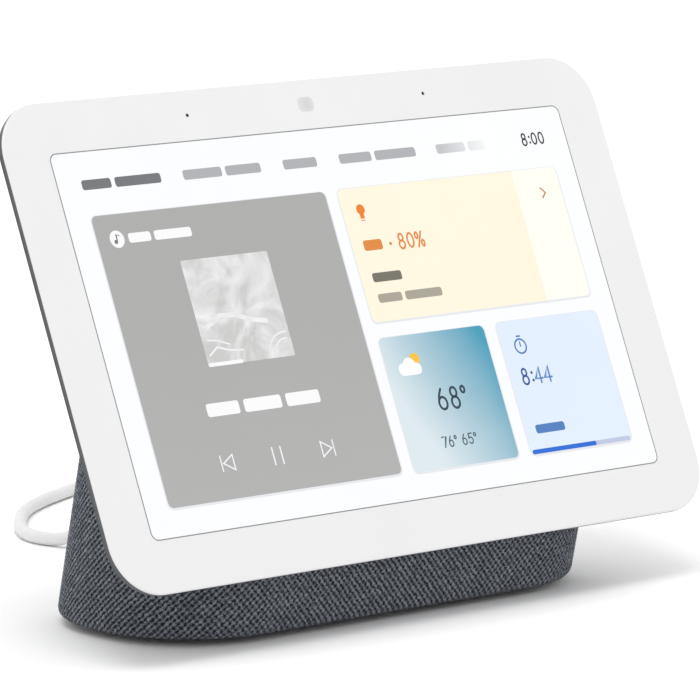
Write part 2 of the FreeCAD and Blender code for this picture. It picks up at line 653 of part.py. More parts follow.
# ---------------------------------------------------------------- speaker
def make_speaker():
    """Full-range driver that fires through the rear wall. Heights are along its axis, into the base."""
    seat = -SPEAKER_SEAT
    rim = seat - GASKET

    def add(name, *solids):
        keep(name, *solids, place=SPEAKER)

    add("speaker_gasket", turned([(18.0, rim), (GASKET_OUTER, rim), (GASKET_OUTER, seat), (18.0, seat)]))
    basket = turned([
        (18.2, rim), (21.75, rim), (21.75, rim - 1.4), (19.9, rim - 1.4), (19.3, -9.5), (16.6, -12.6),
        (16.6, -14.6), (9.0, -14.6), (9.0, -13.8), (15.3, -13.8), (15.3, -12.0), (17.8, -8.6),
        (17.8, -5.9), (18.2, -5.9)])
    screws = []
    for x, y in EARS:
        basket = basket.fuse(rod(x, y, rim - 1.4, rim, 2.6)).cut(rod(x, y, -8, 0, 1.1))
        head = fillet(rod(x, y, rim - 2.6, rim - 1.4, 1.9), HEAD_ROUND, level(rim - 2.6))
        screws.append(head.fuse(rod(x, y, rim - 1.4, -1.7, SCREW)))
    basket = basket.cut(rod(0, 0, rim - 2, rim + 1, 18.2))
    for k in range(4):
        vent = box(8, 25, -4.5, 4.5, -13.0, -8.9)
        vent.Placement = Placement(Vector(0, 0, 0), Rotation(Vector(0, 0, 1), 90 * k))
        basket = basket.cut(vent.cut(rod(0, 0, -20, 0, 15.4)))
    add("speaker_basket", basket)
    add("speaker_screws", *screws)
    roll = Part.makeTorus(16.7, 1.5).cut(Part.makeTorus(16.7, 1.1))
    roll = placed(roll.cut(box(-30, 30, -30, 30, -5, 0)), Placement(Vector(0, 0, -5.9), Rotation()))
    add("speaker_surround", roll)
    add("speaker_cone", turned([
        (15.6, -5.9), (15.6, -6.3), (14.9, -6.3), (7.3, -11.3), (7.3, -10.85), (14.8, -5.9)]))
    add("speaker_spider", turned([
        (7.3, -12.7), (9.3, -12.5), (11.3, -12.9), (13.3, -12.5), (15.3, -12.8), (15.3, -13.2),
        (13.3, -12.9), (11.3, -13.3), (9.3, -12.9), (7.3, -13.1)]))
    add("voice_coil", turned([
        (6.95, -10.5), (7.3, -10.5), (7.3, -14.6), (7.5, -14.6), (7.5, -17.4), (6.95, -17.4)]))
    add("dust_cap", turned([
        (0, -9.2), (2.6, -9.35), (5.0, -9.8), (7.3, -10.5),
        (6.95, -10.5), (4.9, -10.1), (2.5, -9.65), (0, -9.5)]))
    add("speaker_top_plate", turned([(7.9, -14.6), (14, -14.6), (14, -16.6), (7.9, -16.6)]))
    add("speaker_magnet", turned([(9.5, -16.6), (15, -16.6), (15, -21.6), (9.5, -21.6)]))
    add("speaker_yoke", turned([
        (0, -14.6), (6.6, -14.6), (6.6, -21.6), (14, -21.6), (14, -23.6), (0, -23.6)]))


# ---------------------------------------------------------------- lead
# The route is the cord's control polygon. It leaves the plug, drops to the table, bends round to the
# right behind the base and turns back into the coil.
ROUTE = [
    (0.0, RELIEF_END, JACK_Z),
    (0.0, 71.5, JACK_Z),
    (-1.4, 82.5, 6.5),
    (-3.8, 93.5, TABLE_CORD + 0.1),
    (-6.1, 103.4, TABLE_CORD),
    (-2.6, 113.4, TABLE_CORD),
    (5.0, 123.4, TABLE_CORD),
    (15.5, 132.3, TABLE_CORD),
    (28.0, 140.4, TABLE_CORD),
    (37.0, 145.2, TABLE_CORD),
    (50.0, 151.5, TABLE_CORD),
    (64.0, 147.2, TABLE_CORD),
    (71.2, 134.2, TABLE_CORD),
    (67.0, 120.0, TABLE_CORD),
    (54.8, 113.0, TABLE_CORD),
]
TAIL = [
    (ADAPTER_X, TAIL_START, ADAPTER_CORD),
    (45.9, 97.0, 8.2),
    (49.0, 104.9, 6.3),
]


def coil_point(angle, z):
    """Point on the coil's outer turn."""
    a = math.radians(angle)
    r = COIL_MIDDLE + COIL_PITCH * (COIL_COLUMNS - 1) / 2
    return COIL_CENTRE[0] + r * math.cos(a), COIL_CENTRE[1] + r * math.sin(a), z


def cord_path(points):
    """Straight runs joined by tangent arcs, each as large as its two runs allow."""
    points = [Vector(*p) for p in points]
    edges, radii, start = [], [], points[0]
    for before, here, after in zip(points, points[1:], points[2:]):
        back, ahead = (before - here), (after - here)
        shorter = min(back.Length, ahead.Length)
        back.normalize()
        ahead.normalize()
        half = (math.pi - back.getAngle(ahead)) / 2
        tangent = 0.45 * shorter
        radius = tangent / math.tan(half)
        first, last = here + back * tangent, here + ahead * tangent
        centre_way = (back + ahead).normalize()
        middle = here + centre_way * (radius / math.cos(half) - radius)
        edges.append(Part.LineSegment(start, first).toShape())
        edges.append(Part.Arc(first, middle, last).toShape())
        radii.append(radius)
        start = last
    edges.append(Part.LineSegment(start, points[-1]).toShape())
    return Part.Wire(edges), radii


def cord_tube(name, points):
    path, radii = cord_path(points)
    along = Vector(*points[1]) - Vector(*points[0])
    section = Part.Wire(Part.makeCircle(CORD_R, Vector(*points[0]), along))
    tube = path.makePipeShell([section], True, False)
    share = tube.Volume / (math.pi * CORD_R ** 2 * path.Length)
    print(f"{name}: length {path.Length:.1f}, volume over section x length {share:.4f}")
    print("  arc radii:", [round(r, 1) for r in radii])
    keep(name, tube)
    return path.Length


def make_plug():
    """Barrel plug with its grip, and the tapered relief behind it."""
    barrel = jack_bore(2.75, 23.6, PLUG_START + 1).cut(jack_bore(1.1, 20, 33))
    grip = jack_bore(5.1, PLUG_START, PLUG_END)
    grip = fillet(grip, 1.0, lambda e: e.BoundBox.YMin > PLUG_START - 0.01 and e.BoundBox.YLength < 0.01)
    keep("dc_plug", barrel.fuse(grip))
    relief = Part.makeCone(3.6, 2.1, RELIEF_END - PLUG_END, Vector(0, PLUG_END, JACK_Z), Vector(0, 1, 0))
    keep("plug_strain_relief", relief.cut(ring_grooves(PLUG_END, JACK_Z, 0)))


def ring_grooves(start, z, x):
    """Shallow grooves round a strain relief that points to the rear."""
    rings = []
    for k in range(3):
        y = start + 3 + 3.2 * k
        ring = Part.makeCylinder(5, 1.0, Vector(x, y, z), Vector(0, 1, 0))
        rings.append(ring.cut(Part.makeCylinder(2.75 - 0.25 * k, 1.0, Vector(x, y, z), Vector(0, 1, 0))))
    return Part.makeCompound(rings)


def make_coil():
    inner, outer = COIL_MIDDLE - COIL_HALF, COIL_MIDDLE + COIL_HALF
    coil = rod(0, 0, COIL_LOW, COIL_HIGH, outer).cut(rod(0, 0, 0, 20, inner))
    coil = fillet(coil, 1.4, lambda e: e.BoundBox.ZLength < 0.01)
    place = Placement(Vector(*COIL_CENTRE, 0), Rotation())
    keep("power_cord_coil", coil, place=place)
    tie = plate(inner - 1.3, outer + 0.6, -3.5, 3.5, 0, COIL_HIGH + 0.6, 1)
    tie = tie.cut(box(inner - 0.7, outer, -4, 4, COIL_LOW, COIL_HIGH))
    place.Rotation = Rotation(Vector(0, 0, 1), -60)
    keep("coil_tie", tie, place=place)


def make_adapter():
    low_y, high_y = ADAPTER_Y
    x0, x1 = ADAPTER_X - ADAPTER_HALF, ADAPTER_X + ADAPTER_HALF
    seam = ADAPTER_HIGH - ADAPTER_LID
    case = fillet(plate(x0, x1, low_y, high_y, 0, seam, 7), 3.0, level(0))
    wall = ADAPTER_WALL
    case = case.cut(plate(x0 + wall, x1 - wall, low_y + wall, high_y - wall, wall, seam + 1, 5))
    keep("adapter_case", case)
    lid = fillet(plate(x0, x1, low_y, high_y, seam, ADAPTER_HIGH, 7), 1.2, level(ADAPTER_HIGH))
    wall += 0.1
    lid = lid.fuse(plate(x0 + wall, x1 - wall, low_y + wall, high_y - wall, seam - 2, seam, 4.9))
    middle = (low_y + high_y) / 2
    tip = ADAPTER_HIGH + BLADE_OUT
    blades = []
    for x in (ADAPTER_X - BLADE_APART, ADAPTER_X + BLADE_APART):
        thick, wide = BLADE_THICK / 2, BLADE_WIDE / 2
        blade = box(x - thick, x + thick, middle - wide, middle + wide, seam - 2, tip)
        blade = blade.makeChamfer(0.4, [e for e in blade.Edges if level(tip)(e)])
        tip_hole = Part.makeCylinder(1.6, 4, Vector(x - 2, middle, tip - 4), Vector(1, 0, 0))
        blades.append(blade.cut(tip_hole))
        thick, wide = thick + FIT, wide + FIT
        lid = lid.cut(box(x - thick, x + thick, middle - wide, middle + wide, 10, 40))
    keep("adapter_lid", lid)
    keep("adapter_blades", *blades)
    way_out = Vector(ADAPTER_X, high_y, ADAPTER_CORD)
    relief = Part.makeCone(3.7, 2.1, TAIL_START - high_y, way_out, Vector(0, 1, 0))
    keep("adapter_strain_relief", relief.cut(ring_grooves(high_y, ADAPTER_CORD, ADAPTER_X)))


def make_lead():
    make_plug()
    leave = coil_point(EXIT_ANGLE, COIL_LOW + 4.95)
    run = cord_tube("power_cord", ROUTE)
    tail = cord_tube("power_cord_tail", TAIL + [leave])
    turns = COIL_COLUMNS * COIL_ROWS
    outer = COIL_MIDDLE + COIL_PITCH * (COIL_COLUMNS - 1) / 2
    wound = turns * 2 * math.pi * COIL_MIDDLE + math.radians(EXIT_ANGLE - ENTRY_ANGLE) * outer
    print(f"lead: {run:.0f} + {wound:.0f} wound + {tail:.0f} = {run + wound + tail:.0f}")
    make_coil()
    make_adapter()


def main():
    os.makedirs("parts", exist_ok=True)
    make_glass()
    make_display()
    make_tray()
    make_sensors()
    make_main_board()
    make_cables()
    make_housing()
    make_mute_slider()
    make_rocker()
    room = head_room(HEAD_GAP)
    make_fabric(room)
    make_shell(room)
    make_bottom()
    make_power_board()
    make_neck(HEAD_DEPTH + HEAD_GAP + SHELL_WALL)
    make_speaker()
    make_lead()
    for name, shape in nodes.items():
        state = "" if shape.isValid() else "  NOT VALID"
        print(f"{name}: {len(shape.Solids)} solids, {shape.Volume:.1f} mm3{state}")


main()
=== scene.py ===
import json
import math

import bpy
from mathutils import Matrix, Vector


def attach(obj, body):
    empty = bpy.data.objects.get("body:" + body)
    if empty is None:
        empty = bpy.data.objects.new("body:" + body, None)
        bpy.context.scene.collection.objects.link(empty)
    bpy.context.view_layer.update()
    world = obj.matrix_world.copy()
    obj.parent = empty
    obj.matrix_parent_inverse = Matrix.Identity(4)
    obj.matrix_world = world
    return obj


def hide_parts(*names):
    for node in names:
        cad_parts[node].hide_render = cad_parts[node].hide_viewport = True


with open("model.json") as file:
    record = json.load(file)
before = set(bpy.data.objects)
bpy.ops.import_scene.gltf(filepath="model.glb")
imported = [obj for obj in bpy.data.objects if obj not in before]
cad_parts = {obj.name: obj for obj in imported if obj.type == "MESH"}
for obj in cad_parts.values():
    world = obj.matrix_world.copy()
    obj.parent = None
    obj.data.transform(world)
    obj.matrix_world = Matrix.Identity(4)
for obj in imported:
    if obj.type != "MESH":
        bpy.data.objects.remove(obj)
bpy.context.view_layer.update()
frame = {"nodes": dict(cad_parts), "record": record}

MM = 0.001


# ---------------------------------------------------------------- camera
CAMERA_AT = (-0.83120, -0.95097, 0.24994)      # the photo's camera, solved from the panel's outline
CAMERA_RIGHT = (0.75046, -0.66092, 0.0)
CAMERA_UP = (0.09906, 0.11248, 0.98870)
CAMERA_AHEAD = (0.65345, 0.74198, -0.14989)
FOCAL_LENGTH = 288.71                          # mm, as is the sensor's width
SENSOR_WIDTH = 36.0


def make_camera():
    data = bpy.data.cameras.new("camera")
    data.sensor_width = SENSOR_WIDTH
    data.lens = FOCAL_LENGTH
    data.clip_start = 0.05
    data.clip_end = 50.0
    camera = bpy.data.objects.new("camera", data)
    bpy.context.scene.collection.objects.link(camera)
    turn = Matrix((Vector(CAMERA_RIGHT), Vector(CAMERA_UP), -Vector(CAMERA_AHEAD))).transposed().to_4x4()
    camera.matrix_world = Matrix.Translation(CAMERA_AT) @ turn
    bpy.context.scene.camera = camera


# ---------------------------------------------------------------- material nodes
MIX_SHARE, MIX_FIRST, MIX_SECOND, MIX_RESULT = 0, 6, 7, 2      # the mix node's sockets for colours


class Paint:
    """Short way to wire one material's nodes."""

    def __init__(self, name):
        self.material = bpy.data.materials.new(name)
        self.material.use_nodes = True
        self.tree = self.material.node_tree
        self.tree.nodes.clear()
        self.out = self.tree.nodes.new("ShaderNodeOutputMaterial")

    def node(self, kind, settings=None, **inputs):
        """New node. Its inputs go by name, with _ for a space, or by number, as i0, i1 and i2."""
        made = self.tree.nodes.new("ShaderNode" + kind)
        for key, value in (settings or {}).items():
            setattr(made, key, value)
        for key, value in inputs.items():
            numbered = key[0] == "i" and key[1:].isdigit()
            self.put(made.inputs[int(key[1:]) if numbered else key.replace("_", " ")], value)
        return made

    def put(self, socket, value):
        if isinstance(value, bpy.types.NodeSocket):
            self.tree.links.new(value, socket)
        else:
            socket.default_value = value

    def place(self):
        return self.node("TexCoord").outputs["Object"]

    def math(self, operation, a, b=0.0, c=0.0):
        return self.node("Math", {"operation": operation}, i0=a, i1=b, i2=c).outputs[0]

    def vector(self, operation, a, b, c=(0.0, 0.0, 0.0)):
        """Vector arithmetic; a dot product or a distance comes out as one number."""
        made = self.node("VectorMath", {"operation": operation}, i0=a, i1=b, i2=c)
        return made.outputs["Value" if operation in ("DOT_PRODUCT", "DISTANCE") else "Vector"]

    def noise(self, scale, detail=3.0, rough=0.55, where=None, stretch=None):
        where = where or self.place()
        if stretch:
            where = self.node("Mapping", Vector=where, Scale=stretch).outputs[0]
        made = self.node("TexNoise", Vector=where, Scale=scale, Detail=detail, Roughness=rough)
        return made.outputs["Fac"]

    def spread(self, value, low, high, from_low=0.3, from_high=0.7):
        """Stretches a value's range and stops at both ends. Most of a noise lies between 0.3 and 0.7."""
        ends = {"From_Min": from_low, "From_Max": from_high, "To_Min": low, "To_Max": high}
        return self.node("MapRange", Value=value, **ends).outputs[0]

    def mix(self, share, a, b):
        made = self.node("Mix", {"data_type": "RGBA"})
        for number, value in ((MIX_SHARE, share), (MIX_FIRST, a), (MIX_SECOND, b)):
            self.put(made.inputs[number], value)
        return made.outputs[MIX_RESULT]

    def bands(self, direction, scale, **inputs):
        """Even waves along one direction, from 0 to 1."""
        settings = {"wave_type": "BANDS", "bands_direction": direction}
        return self.node("TexWave", settings, Vector=self.place(), Scale=scale, **inputs).outputs["Fac"]

    def bump(self, height, strength, depth):
        return self.node("Bump", Height=height, Strength=strength, Distance=depth).outputs[0]

    def finish(self, **inputs):
        shader = self.node("BsdfPrincipled", **inputs)
        self.tree.links.new(shader.outputs[0], self.out.inputs[0])
        return self.material


def rgb(r, g, b):
    """Linear colour from the 0 to 255 values a screen shows, by the usual screen curve."""
    def linear(c):
        c /= 255
        return c / 12.92 if c <= 0.04045 else ((c + 0.055) / 1.055) ** 2.4
    return linear(r), linear(g), linear(b), 1.0


def shade(colour, k):
    return tuple(min(1.0, c * k) for c in colour[:3]) + (1.0,)


def moulded(name, colour, rough, grain, depth, change=0.06, metal=0.0, coat=0.0, streak=None):
    """Moulded or pressed surface: fine grain, slow patches of tone and gloss, and light scuffs."""
    p = Paint(name)
    patches = p.noise(60.0, 4.0, 0.6)
    tone = p.mix(p.spread(patches, 0.0, 1.0), shade(colour, 1 - change), shade(colour, 1 + change))
    fine = p.noise(grain, 2.0, 0.5, stretch=streak)
    scuff = p.noise(540.0, 5.0, 0.7, stretch=(1.0, 1.0, 0.25))
    gloss = p.spread(scuff, rough * 0.86, rough * 1.14, 0.35, 0.65)
    return p.finish(
        Base_Color=tone, Roughness=gloss, Metallic=metal, Normal=p.bump(fine, 0.5, depth),
        Coat_Weight=coat, Coat_Roughness=0.15)


# ---------------------------------------------------------------- mesh helpers
def link(name, mesh, material):
    """Puts a mesh into the scene, as a piece that rides on the display's fixed body."""
    made = bpy.data.objects.new(name, mesh)
    bpy.context.scene.collection.objects.link(made)
    mesh.materials.append(material)
    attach(made, "root")
    return made


def mesh_of(name, points, faces, smooth=True):
    """Mesh from points in millimetres."""
    mesh = bpy.data.meshes.new(name)
    mesh.from_pydata([tuple(c * MM for c in p) for p in points], [], faces)
    mesh.polygons.foreach_set("use_smooth", [smooth] * len(mesh.polygons))
    mesh.update()
    return mesh


# ---------------------------------------------------------------- lead
CORD = 0.0032                  # the lead's sizes and places are in metres
ROUTE = [                      # along the CAD's lead and the loop in the photo
    (0, 0.063, 0.0117), (0, 0.0715, 0.0117), (-0.0014, 0.0825, 0.0065), (-0.0036, 0.0935, 0.00175),
    (-0.0058, 0.1025, 0.00165), (-0.002, 0.112, 0.00165), (0.0045, 0.1206, 0.00165), (0.015, 0.1324, 0.00165),
    (0.0275, 0.1404, 0.00165), (0.037, 0.145, 0.00165), (0.05, 0.1515, 0.00165), (0.064, 0.1472, 0.00165),
    (0.0712, 0.1342, 0.00165), (0.067, 0.12, 0.00165), (0.0548, 0.113, 0.00165),
]
TAIL = [(0.049, 0.1049, 0.0063), (0.0459, 0.097, 0.0082), (0.0455, 0.0885, 0.009)]
COIL_CENTRE = (0.072, 0.097)
COLUMNS = (0.0223, 0.0189, 0.0155, 0.0121)      # radii that the coil's turns lie at, and their heights
ROWS = (0.00215, 0.00545, 0.00875)
# column and row of each turn, in order
WINDING = [(0, 0), (1, 0), (2, 0), (3, 0), (3, 1), (3, 2), (2, 2), (2, 1), (1, 1), (1, 2), (0, 2), (0, 1)]
COIL_FIRST = 165.4             # degrees round the coil's middle, from its first point to its last
COIL_LAST = 4446.75
COIL_STEPS = 190
CONTROL_REACH = 1.0195         # a control point lies this much further out than the turn it makes
CROSSING_AT = 120.0            # angle where a turn ends and the next one begins
CROSSING = 0.13                # share of a turn in which it crosses to the next one's place
WAVERS = ((0.0001, 0.029, 0.0), (0.00008, 0.0117, 1.0))      # size, pace and start of the turns' unevenness
LEAVING = 0.0009               # how far the last turn swings out before it leaves the coil
LEAVING_TURN = 60.0            # degrees that it takes for this


def smooth(t):
    """Goes from 0 to 1 with a soft start and a soft end."""
    t = max(0.0, min(1.0, t))
    return t * t * (3 - 2 * t)


def coil_turns():
    """Control points of the wound part: each turn keeps its place and moves to the next one at its end."""
    for k in range(COIL_STEPS + 1):
        angle = COIL_FIRST + (COIL_LAST - COIL_FIRST) * k / COIL_STEPS
        turn, part = divmod((angle - CROSSING_AT) / 360, 1)
        turn = min(int(turn), len(WINDING) - 1)
        after = min(turn + 1, len(WINDING) - 1)
        share = smooth((part - 1 + CROSSING) / CROSSING)
        here, there = WINDING[turn], WINDING[after]
        r = COLUMNS[here[0]] * (1 - share) + COLUMNS[there[0]] * share
        z = ROWS[here[1]] * (1 - share) + ROWS[there[1]] * share
        loose = sum(size * math.sin(angle * pace + start) for size, pace, start in WAVERS)
        leaving = LEAVING * smooth((angle - COIL_LAST + LEAVING_TURN) / LEAVING_TURN)
        reach = (r + loose + leaving) * CONTROL_REACH
        a = math.radians(angle)
        yield COIL_CENTRE[0] + reach * math.cos(a), COIL_CENTRE[1] + reach * math.sin(a), z


def cord_material():
    p = Paint("cord_jacket")
    dust = p.noise(180.0, 5.0, 0.65)
    skin = p.noise(5200.0, 2.0, 0.5)
    tone = p.mix(p.spread(dust, 0.0, 1.0), rgb(212, 212, 211), rgb(221, 221, 221))
    gloss = p.spread(p.noise(900.0, 4.0), 0.34, 0.52)
    normal = p.bump(skin, 0.35, 0.00004)
    return p.finish(Base_Color=tone, Roughness=gloss, Normal=normal, Specular_IOR_Level=0.45)


def make_cord():
    curve = bpy.data.curves.new("power_lead", "CURVE")
    curve.dimensions = "3D"
    curve.bevel_depth = CORD / 2
    curve.bevel_resolution = 5
    curve.resolution_u = 8
    curve.use_fill_caps = True
    points = ROUTE + list(coil_turns()) + TAIL
    line = curve.splines.new("NURBS")
    line.points.add(len(points) - 1)
    for point, at in zip(line.points, points):
        point.co = (*at, 1.0)
    line.order_u = 3
    line.use_endpoint_u = True
    curve.materials.append(cord_material())
    lead = bpy.data.objects.new("power_lead", curve)
    bpy.context.scene.collection.objects.link(lead)
    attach(lead, "root")
    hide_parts("power_cord", "power_cord_coil", "power_cord_tail")
    return lead


# ---------------------------------------------------------------- base fabric
BASE_HALF = 66.84              # the base's outline, in millimetres, as in the CAD
BASE_FRONT = -25.55
BASE_REAR = 34.85
BASE_REF = 1.94                # height where the outline has these front and rear places
BASE_LEAN = 0.232              # how far forward it goes for each millimetre up
FRONT_CORNER = 26.5
REAR_CORNER = 29.25
BEND_START = 60.0              # the rear and the sides bend in from here up
BEND_SPAN = 32.0
REAR_BEND = 20.0
SIDE_BEND = 14.0
FABRIC_BOTTOM = 1.7
HEM_ROUND = 2.0                # radius of the turn under the base
HEM_EDGE = 7.0                 # how far in the hem ends
HEM_INSETS = (7.0, 6.2, 5.4, 4.6, 3.8, 3.0, 2.5)
HEM_LIP = (0.2, 0.8)           # how far in and up its inner edge goes from there
HEM_STEPS = 8
HEM_RELIEF = 0.6               # share of the stitches' relief left in the hem
EDGE_RANGE = (4.0, 91.5)       # heights between which the sleeve's upper edge lies
JACK = (0.0, 11.7, 6.28)       # across, height and radius of the hole for the jack's ring
JACK_BEHIND = 20.0             # the hole is on the side behind this
HEAD_Y = -34.65                # where the head's slope starts, at the glass's lower edge
HEAD_Z = 16.904
LEAN_SIN = 0.39985
LEAN_COS = 0.91658
HEAD_EDGE = -0.05              # the housing starts here, up the slope
HEAD_RIM = 2.0                 # depth of its straight rim
HEAD_CURVE = 9.3               # depth of the curve behind the rim
CURVE_INSETS = (0.0, 4.2, 8.5, 18.0)
CURVE_DEPTHS = (0.0, 0.578, 1.0, 1.0)
CURVE_HALVINGS = 24            # steps of halving that find a place on the curve,
EDGE_HALVINGS = 30             # and the height of the sleeve's edge
NEARBY = 0.01                  # share of a side between a point and the two that give its direction
COLUMNS_ROUND = 820            # mesh columns round the base, four to a stitch
STITCH_WIDE = 0.83001          # half a stitch, round the base
STITCH_HIGH = 0.9              # half a stitch, up the side
ROW = 0.45                     # mesh rows are this far apart, four to a stitch
RELIEF = 0.2                   # how far a stitch stands out
RELIEF_FADE = 1.2              # the relief fades over this height under the upper edge
SLANT = 0.22                   # how much one slant of the knit outweighs the other
SLANT_AT = 88.0                # the rising slant is strongest this far left of the front's middle,
SLANT_SPAN = 170.15            # and again half the way round from there
TUCK = ((0.35, 0.1), (0.9, -0.05), (1.6, -0.9))      # (inward, up) of the edge turned in behind the head


def head_point(u, v, w):
    """Point on the leaning head: across, up the slope and out of the glass."""
    return u, HEAD_Y + LEAN_SIN * v - LEAN_COS * w, HEAD_Z + LEAN_COS * v + LEAN_SIN * w


def cubic(values, t):
    """Height of a cubic curve from its four control values."""
    a, b, c, d = values
    k = 1 - t
    return a * k ** 3 + 3 * b * k * k * t + 3 * c * k * t * t + d * t ** 3


def under_head(y, z):
    """True in front of the head's curved back."""
    v = LEAN_SIN * (y - HEAD_Y) + LEAN_COS * (z - HEAD_Z)
    w = -LEAN_COS * (y - HEAD_Y) + LEAN_SIN * (z - HEAD_Z)
    if v <= HEAD_EDGE:
        return False
    low, high = 0.0, 1.0
    for _ in range(CURVE_HALVINGS):
        t = (low + high) / 2
        low, high = (t, high) if cubic(CURVE_INSETS, t) < v - HEAD_EDGE else (low, t)
    return w > -HEAD_RIM - HEAD_CURVE * cubic(CURVE_DEPTHS, low)


def section_sides():
    """(kind, length) of the base's straight sides and corners, from the front's middle, to the right."""
    half, depth = BASE_HALF, BASE_REAR - BASE_FRONT
    corner = math.pi / 2
    return [
        ("front", half - FRONT_CORNER), ("front_right", FRONT_CORNER * corner),
        ("right", depth - FRONT_CORNER - REAR_CORNER), ("rear_right", REAR_CORNER * corner),
        ("rear", 2 * (half - REAR_CORNER)), ("rear_left", REAR_CORNER * corner),
        ("left", depth - FRONT_CORNER - REAR_CORNER), ("front_left", FRONT_CORNER * corner),
        ("front_end", half - FRONT_CORNER),
    ]


def section_point(kind, share, inset, z):
    """Point of the base's outline at height z, on one side or corner."""
    t = max(0.0, (z - BEND_START) / BEND_SPAN)
    close = 1 - math.sqrt(1 - min(1.0, t * t))
    slide = BASE_LEAN * (z - BASE_REF)
    half = BASE_HALF - inset - SIDE_BEND * close
    front, rear = BASE_FRONT - slide + inset, BASE_REAR - slide - inset - REAR_BEND * close
    fore = FRONT_CORNER - inset
    aft = min(REAR_CORNER - inset, rear - front - fore)
    s, c = math.sin(share * math.pi / 2), math.cos(share * math.pi / 2)
    return {
        "front": lambda: (share * (half - fore), front),
        "front_right": lambda: (half - fore + fore * s, front + fore - fore * c),
        "right": lambda: (half, front + fore + share * (rear - aft - front - fore)),
        "rear_right": lambda: (half - aft + aft * c, rear - aft + aft * s),
        "rear": lambda: ((1 - 2 * share) * (half - aft), rear),
        "rear_left": lambda: (-half + aft - aft * s, rear - aft + aft * c),
        "left": lambda: (-half, rear - aft - share * (rear - aft - front - fore)),
        "front_left": lambda: (-half + fore - fore * c, front + fore - fore * s),
        "front_end": lambda: ((share - 1) * (half - fore), front),
    }[kind]()


def column_places():
    """(kind, share, distance) of each knit column, from the rear's middle round to the same place again."""
    sides = section_sides()
    total = sum(length for _, length in sides)
    places = []
    for k in range(COLUMNS_ROUND):
        at = total * k / COLUMNS_ROUND
        distance = at
        for kind, length in sides:
            if at <= length:
                places.append((kind, at / length, distance))
                break
            at -= length
    rear = COLUMNS_ROUND // 2
    before = [(kind, share, distance - total) for kind, share, distance in places[rear:]]
    return before + places[:rear] + [places[rear]]


def edge_height(kind, share):
    """Height where a column reaches the head's back."""
    low, high = EDGE_RANGE
    for _ in range(EDGE_HALVINGS):
        z = (low + high) / 2
        if under_head(section_point(kind, share, 0, z)[1], z):
            high = z
        else:
            low = z
    return low


def hem_rows():
    """(inset, height, distance below the hem's top) of the rows that turn under the base."""
    quarter = HEM_ROUND * math.pi / 2
    lip_in, lip_up = HEM_LIP
    rows = [(HEM_EDGE + lip_in, FABRIC_BOTTOM + lip_up, quarter + HEM_EDGE - HEM_ROUND + lip_up)]
    for inset in HEM_INSETS:
        rows.append((inset, FABRIC_BOTTOM, quarter + inset - HEM_ROUND))
    for k in range(HEM_STEPS):
        a = math.pi / 2 * (1 - k / HEM_STEPS)
        inset, z = HEM_ROUND * (1 - math.cos(a)), FABRIC_BOTTOM + HEM_ROUND * (1 - math.sin(a))
        rows.append((inset, z, HEM_ROUND * a))
    return rows


def knit_relief(distance, climb):
    """Height of the stitches, from -1 to 1: two crossing sets of slanted rows, one of them stronger."""
    a = distance / STITCH_WIDE - climb / STITCH_HIGH
    b = distance / STITCH_WIDE + climb / STITCH_HIGH
    rising = 0.5 + SLANT * math.cos(2 * math.pi * (distance + SLANT_AT) / SLANT_SPAN)
    return rising * math.cos(math.pi * a) + (1 - rising) * math.cos(math.pi * b)


def stitch_pattern(p, where):
    """The places across the knit's two slants, and the stitches' height, as in knit_relief."""
    split = p.node("SeparateXYZ", Vector=where).outputs
    across, climb = p.math("DIVIDE", split[0], STITCH_WIDE), p.math("DIVIDE", split[1], STITCH_HIGH)
    a, b = p.math("SUBTRACT", across, climb), p.math("ADD", across, climb)
    one = p.math("COSINE", p.math("MULTIPLY", a, math.pi))
    other = p.math("COSINE", p.math("MULTIPLY", b, math.pi))
    sway = p.math("COSINE", p.math("MULTIPLY", p.math("ADD", split[0], SLANT_AT), 2 * math.pi / SLANT_SPAN))
    rising = p.math("MULTIPLY_ADD", sway, SLANT / 2, 0.25)
    falling = p.math("SUBTRACT", 0.5, rising)
    crossed = p.math("ADD", p.math("MULTIPLY", one, rising), p.math("MULTIPLY", other, falling))
    return a, b, p.math("ADD", crossed, 0.5)


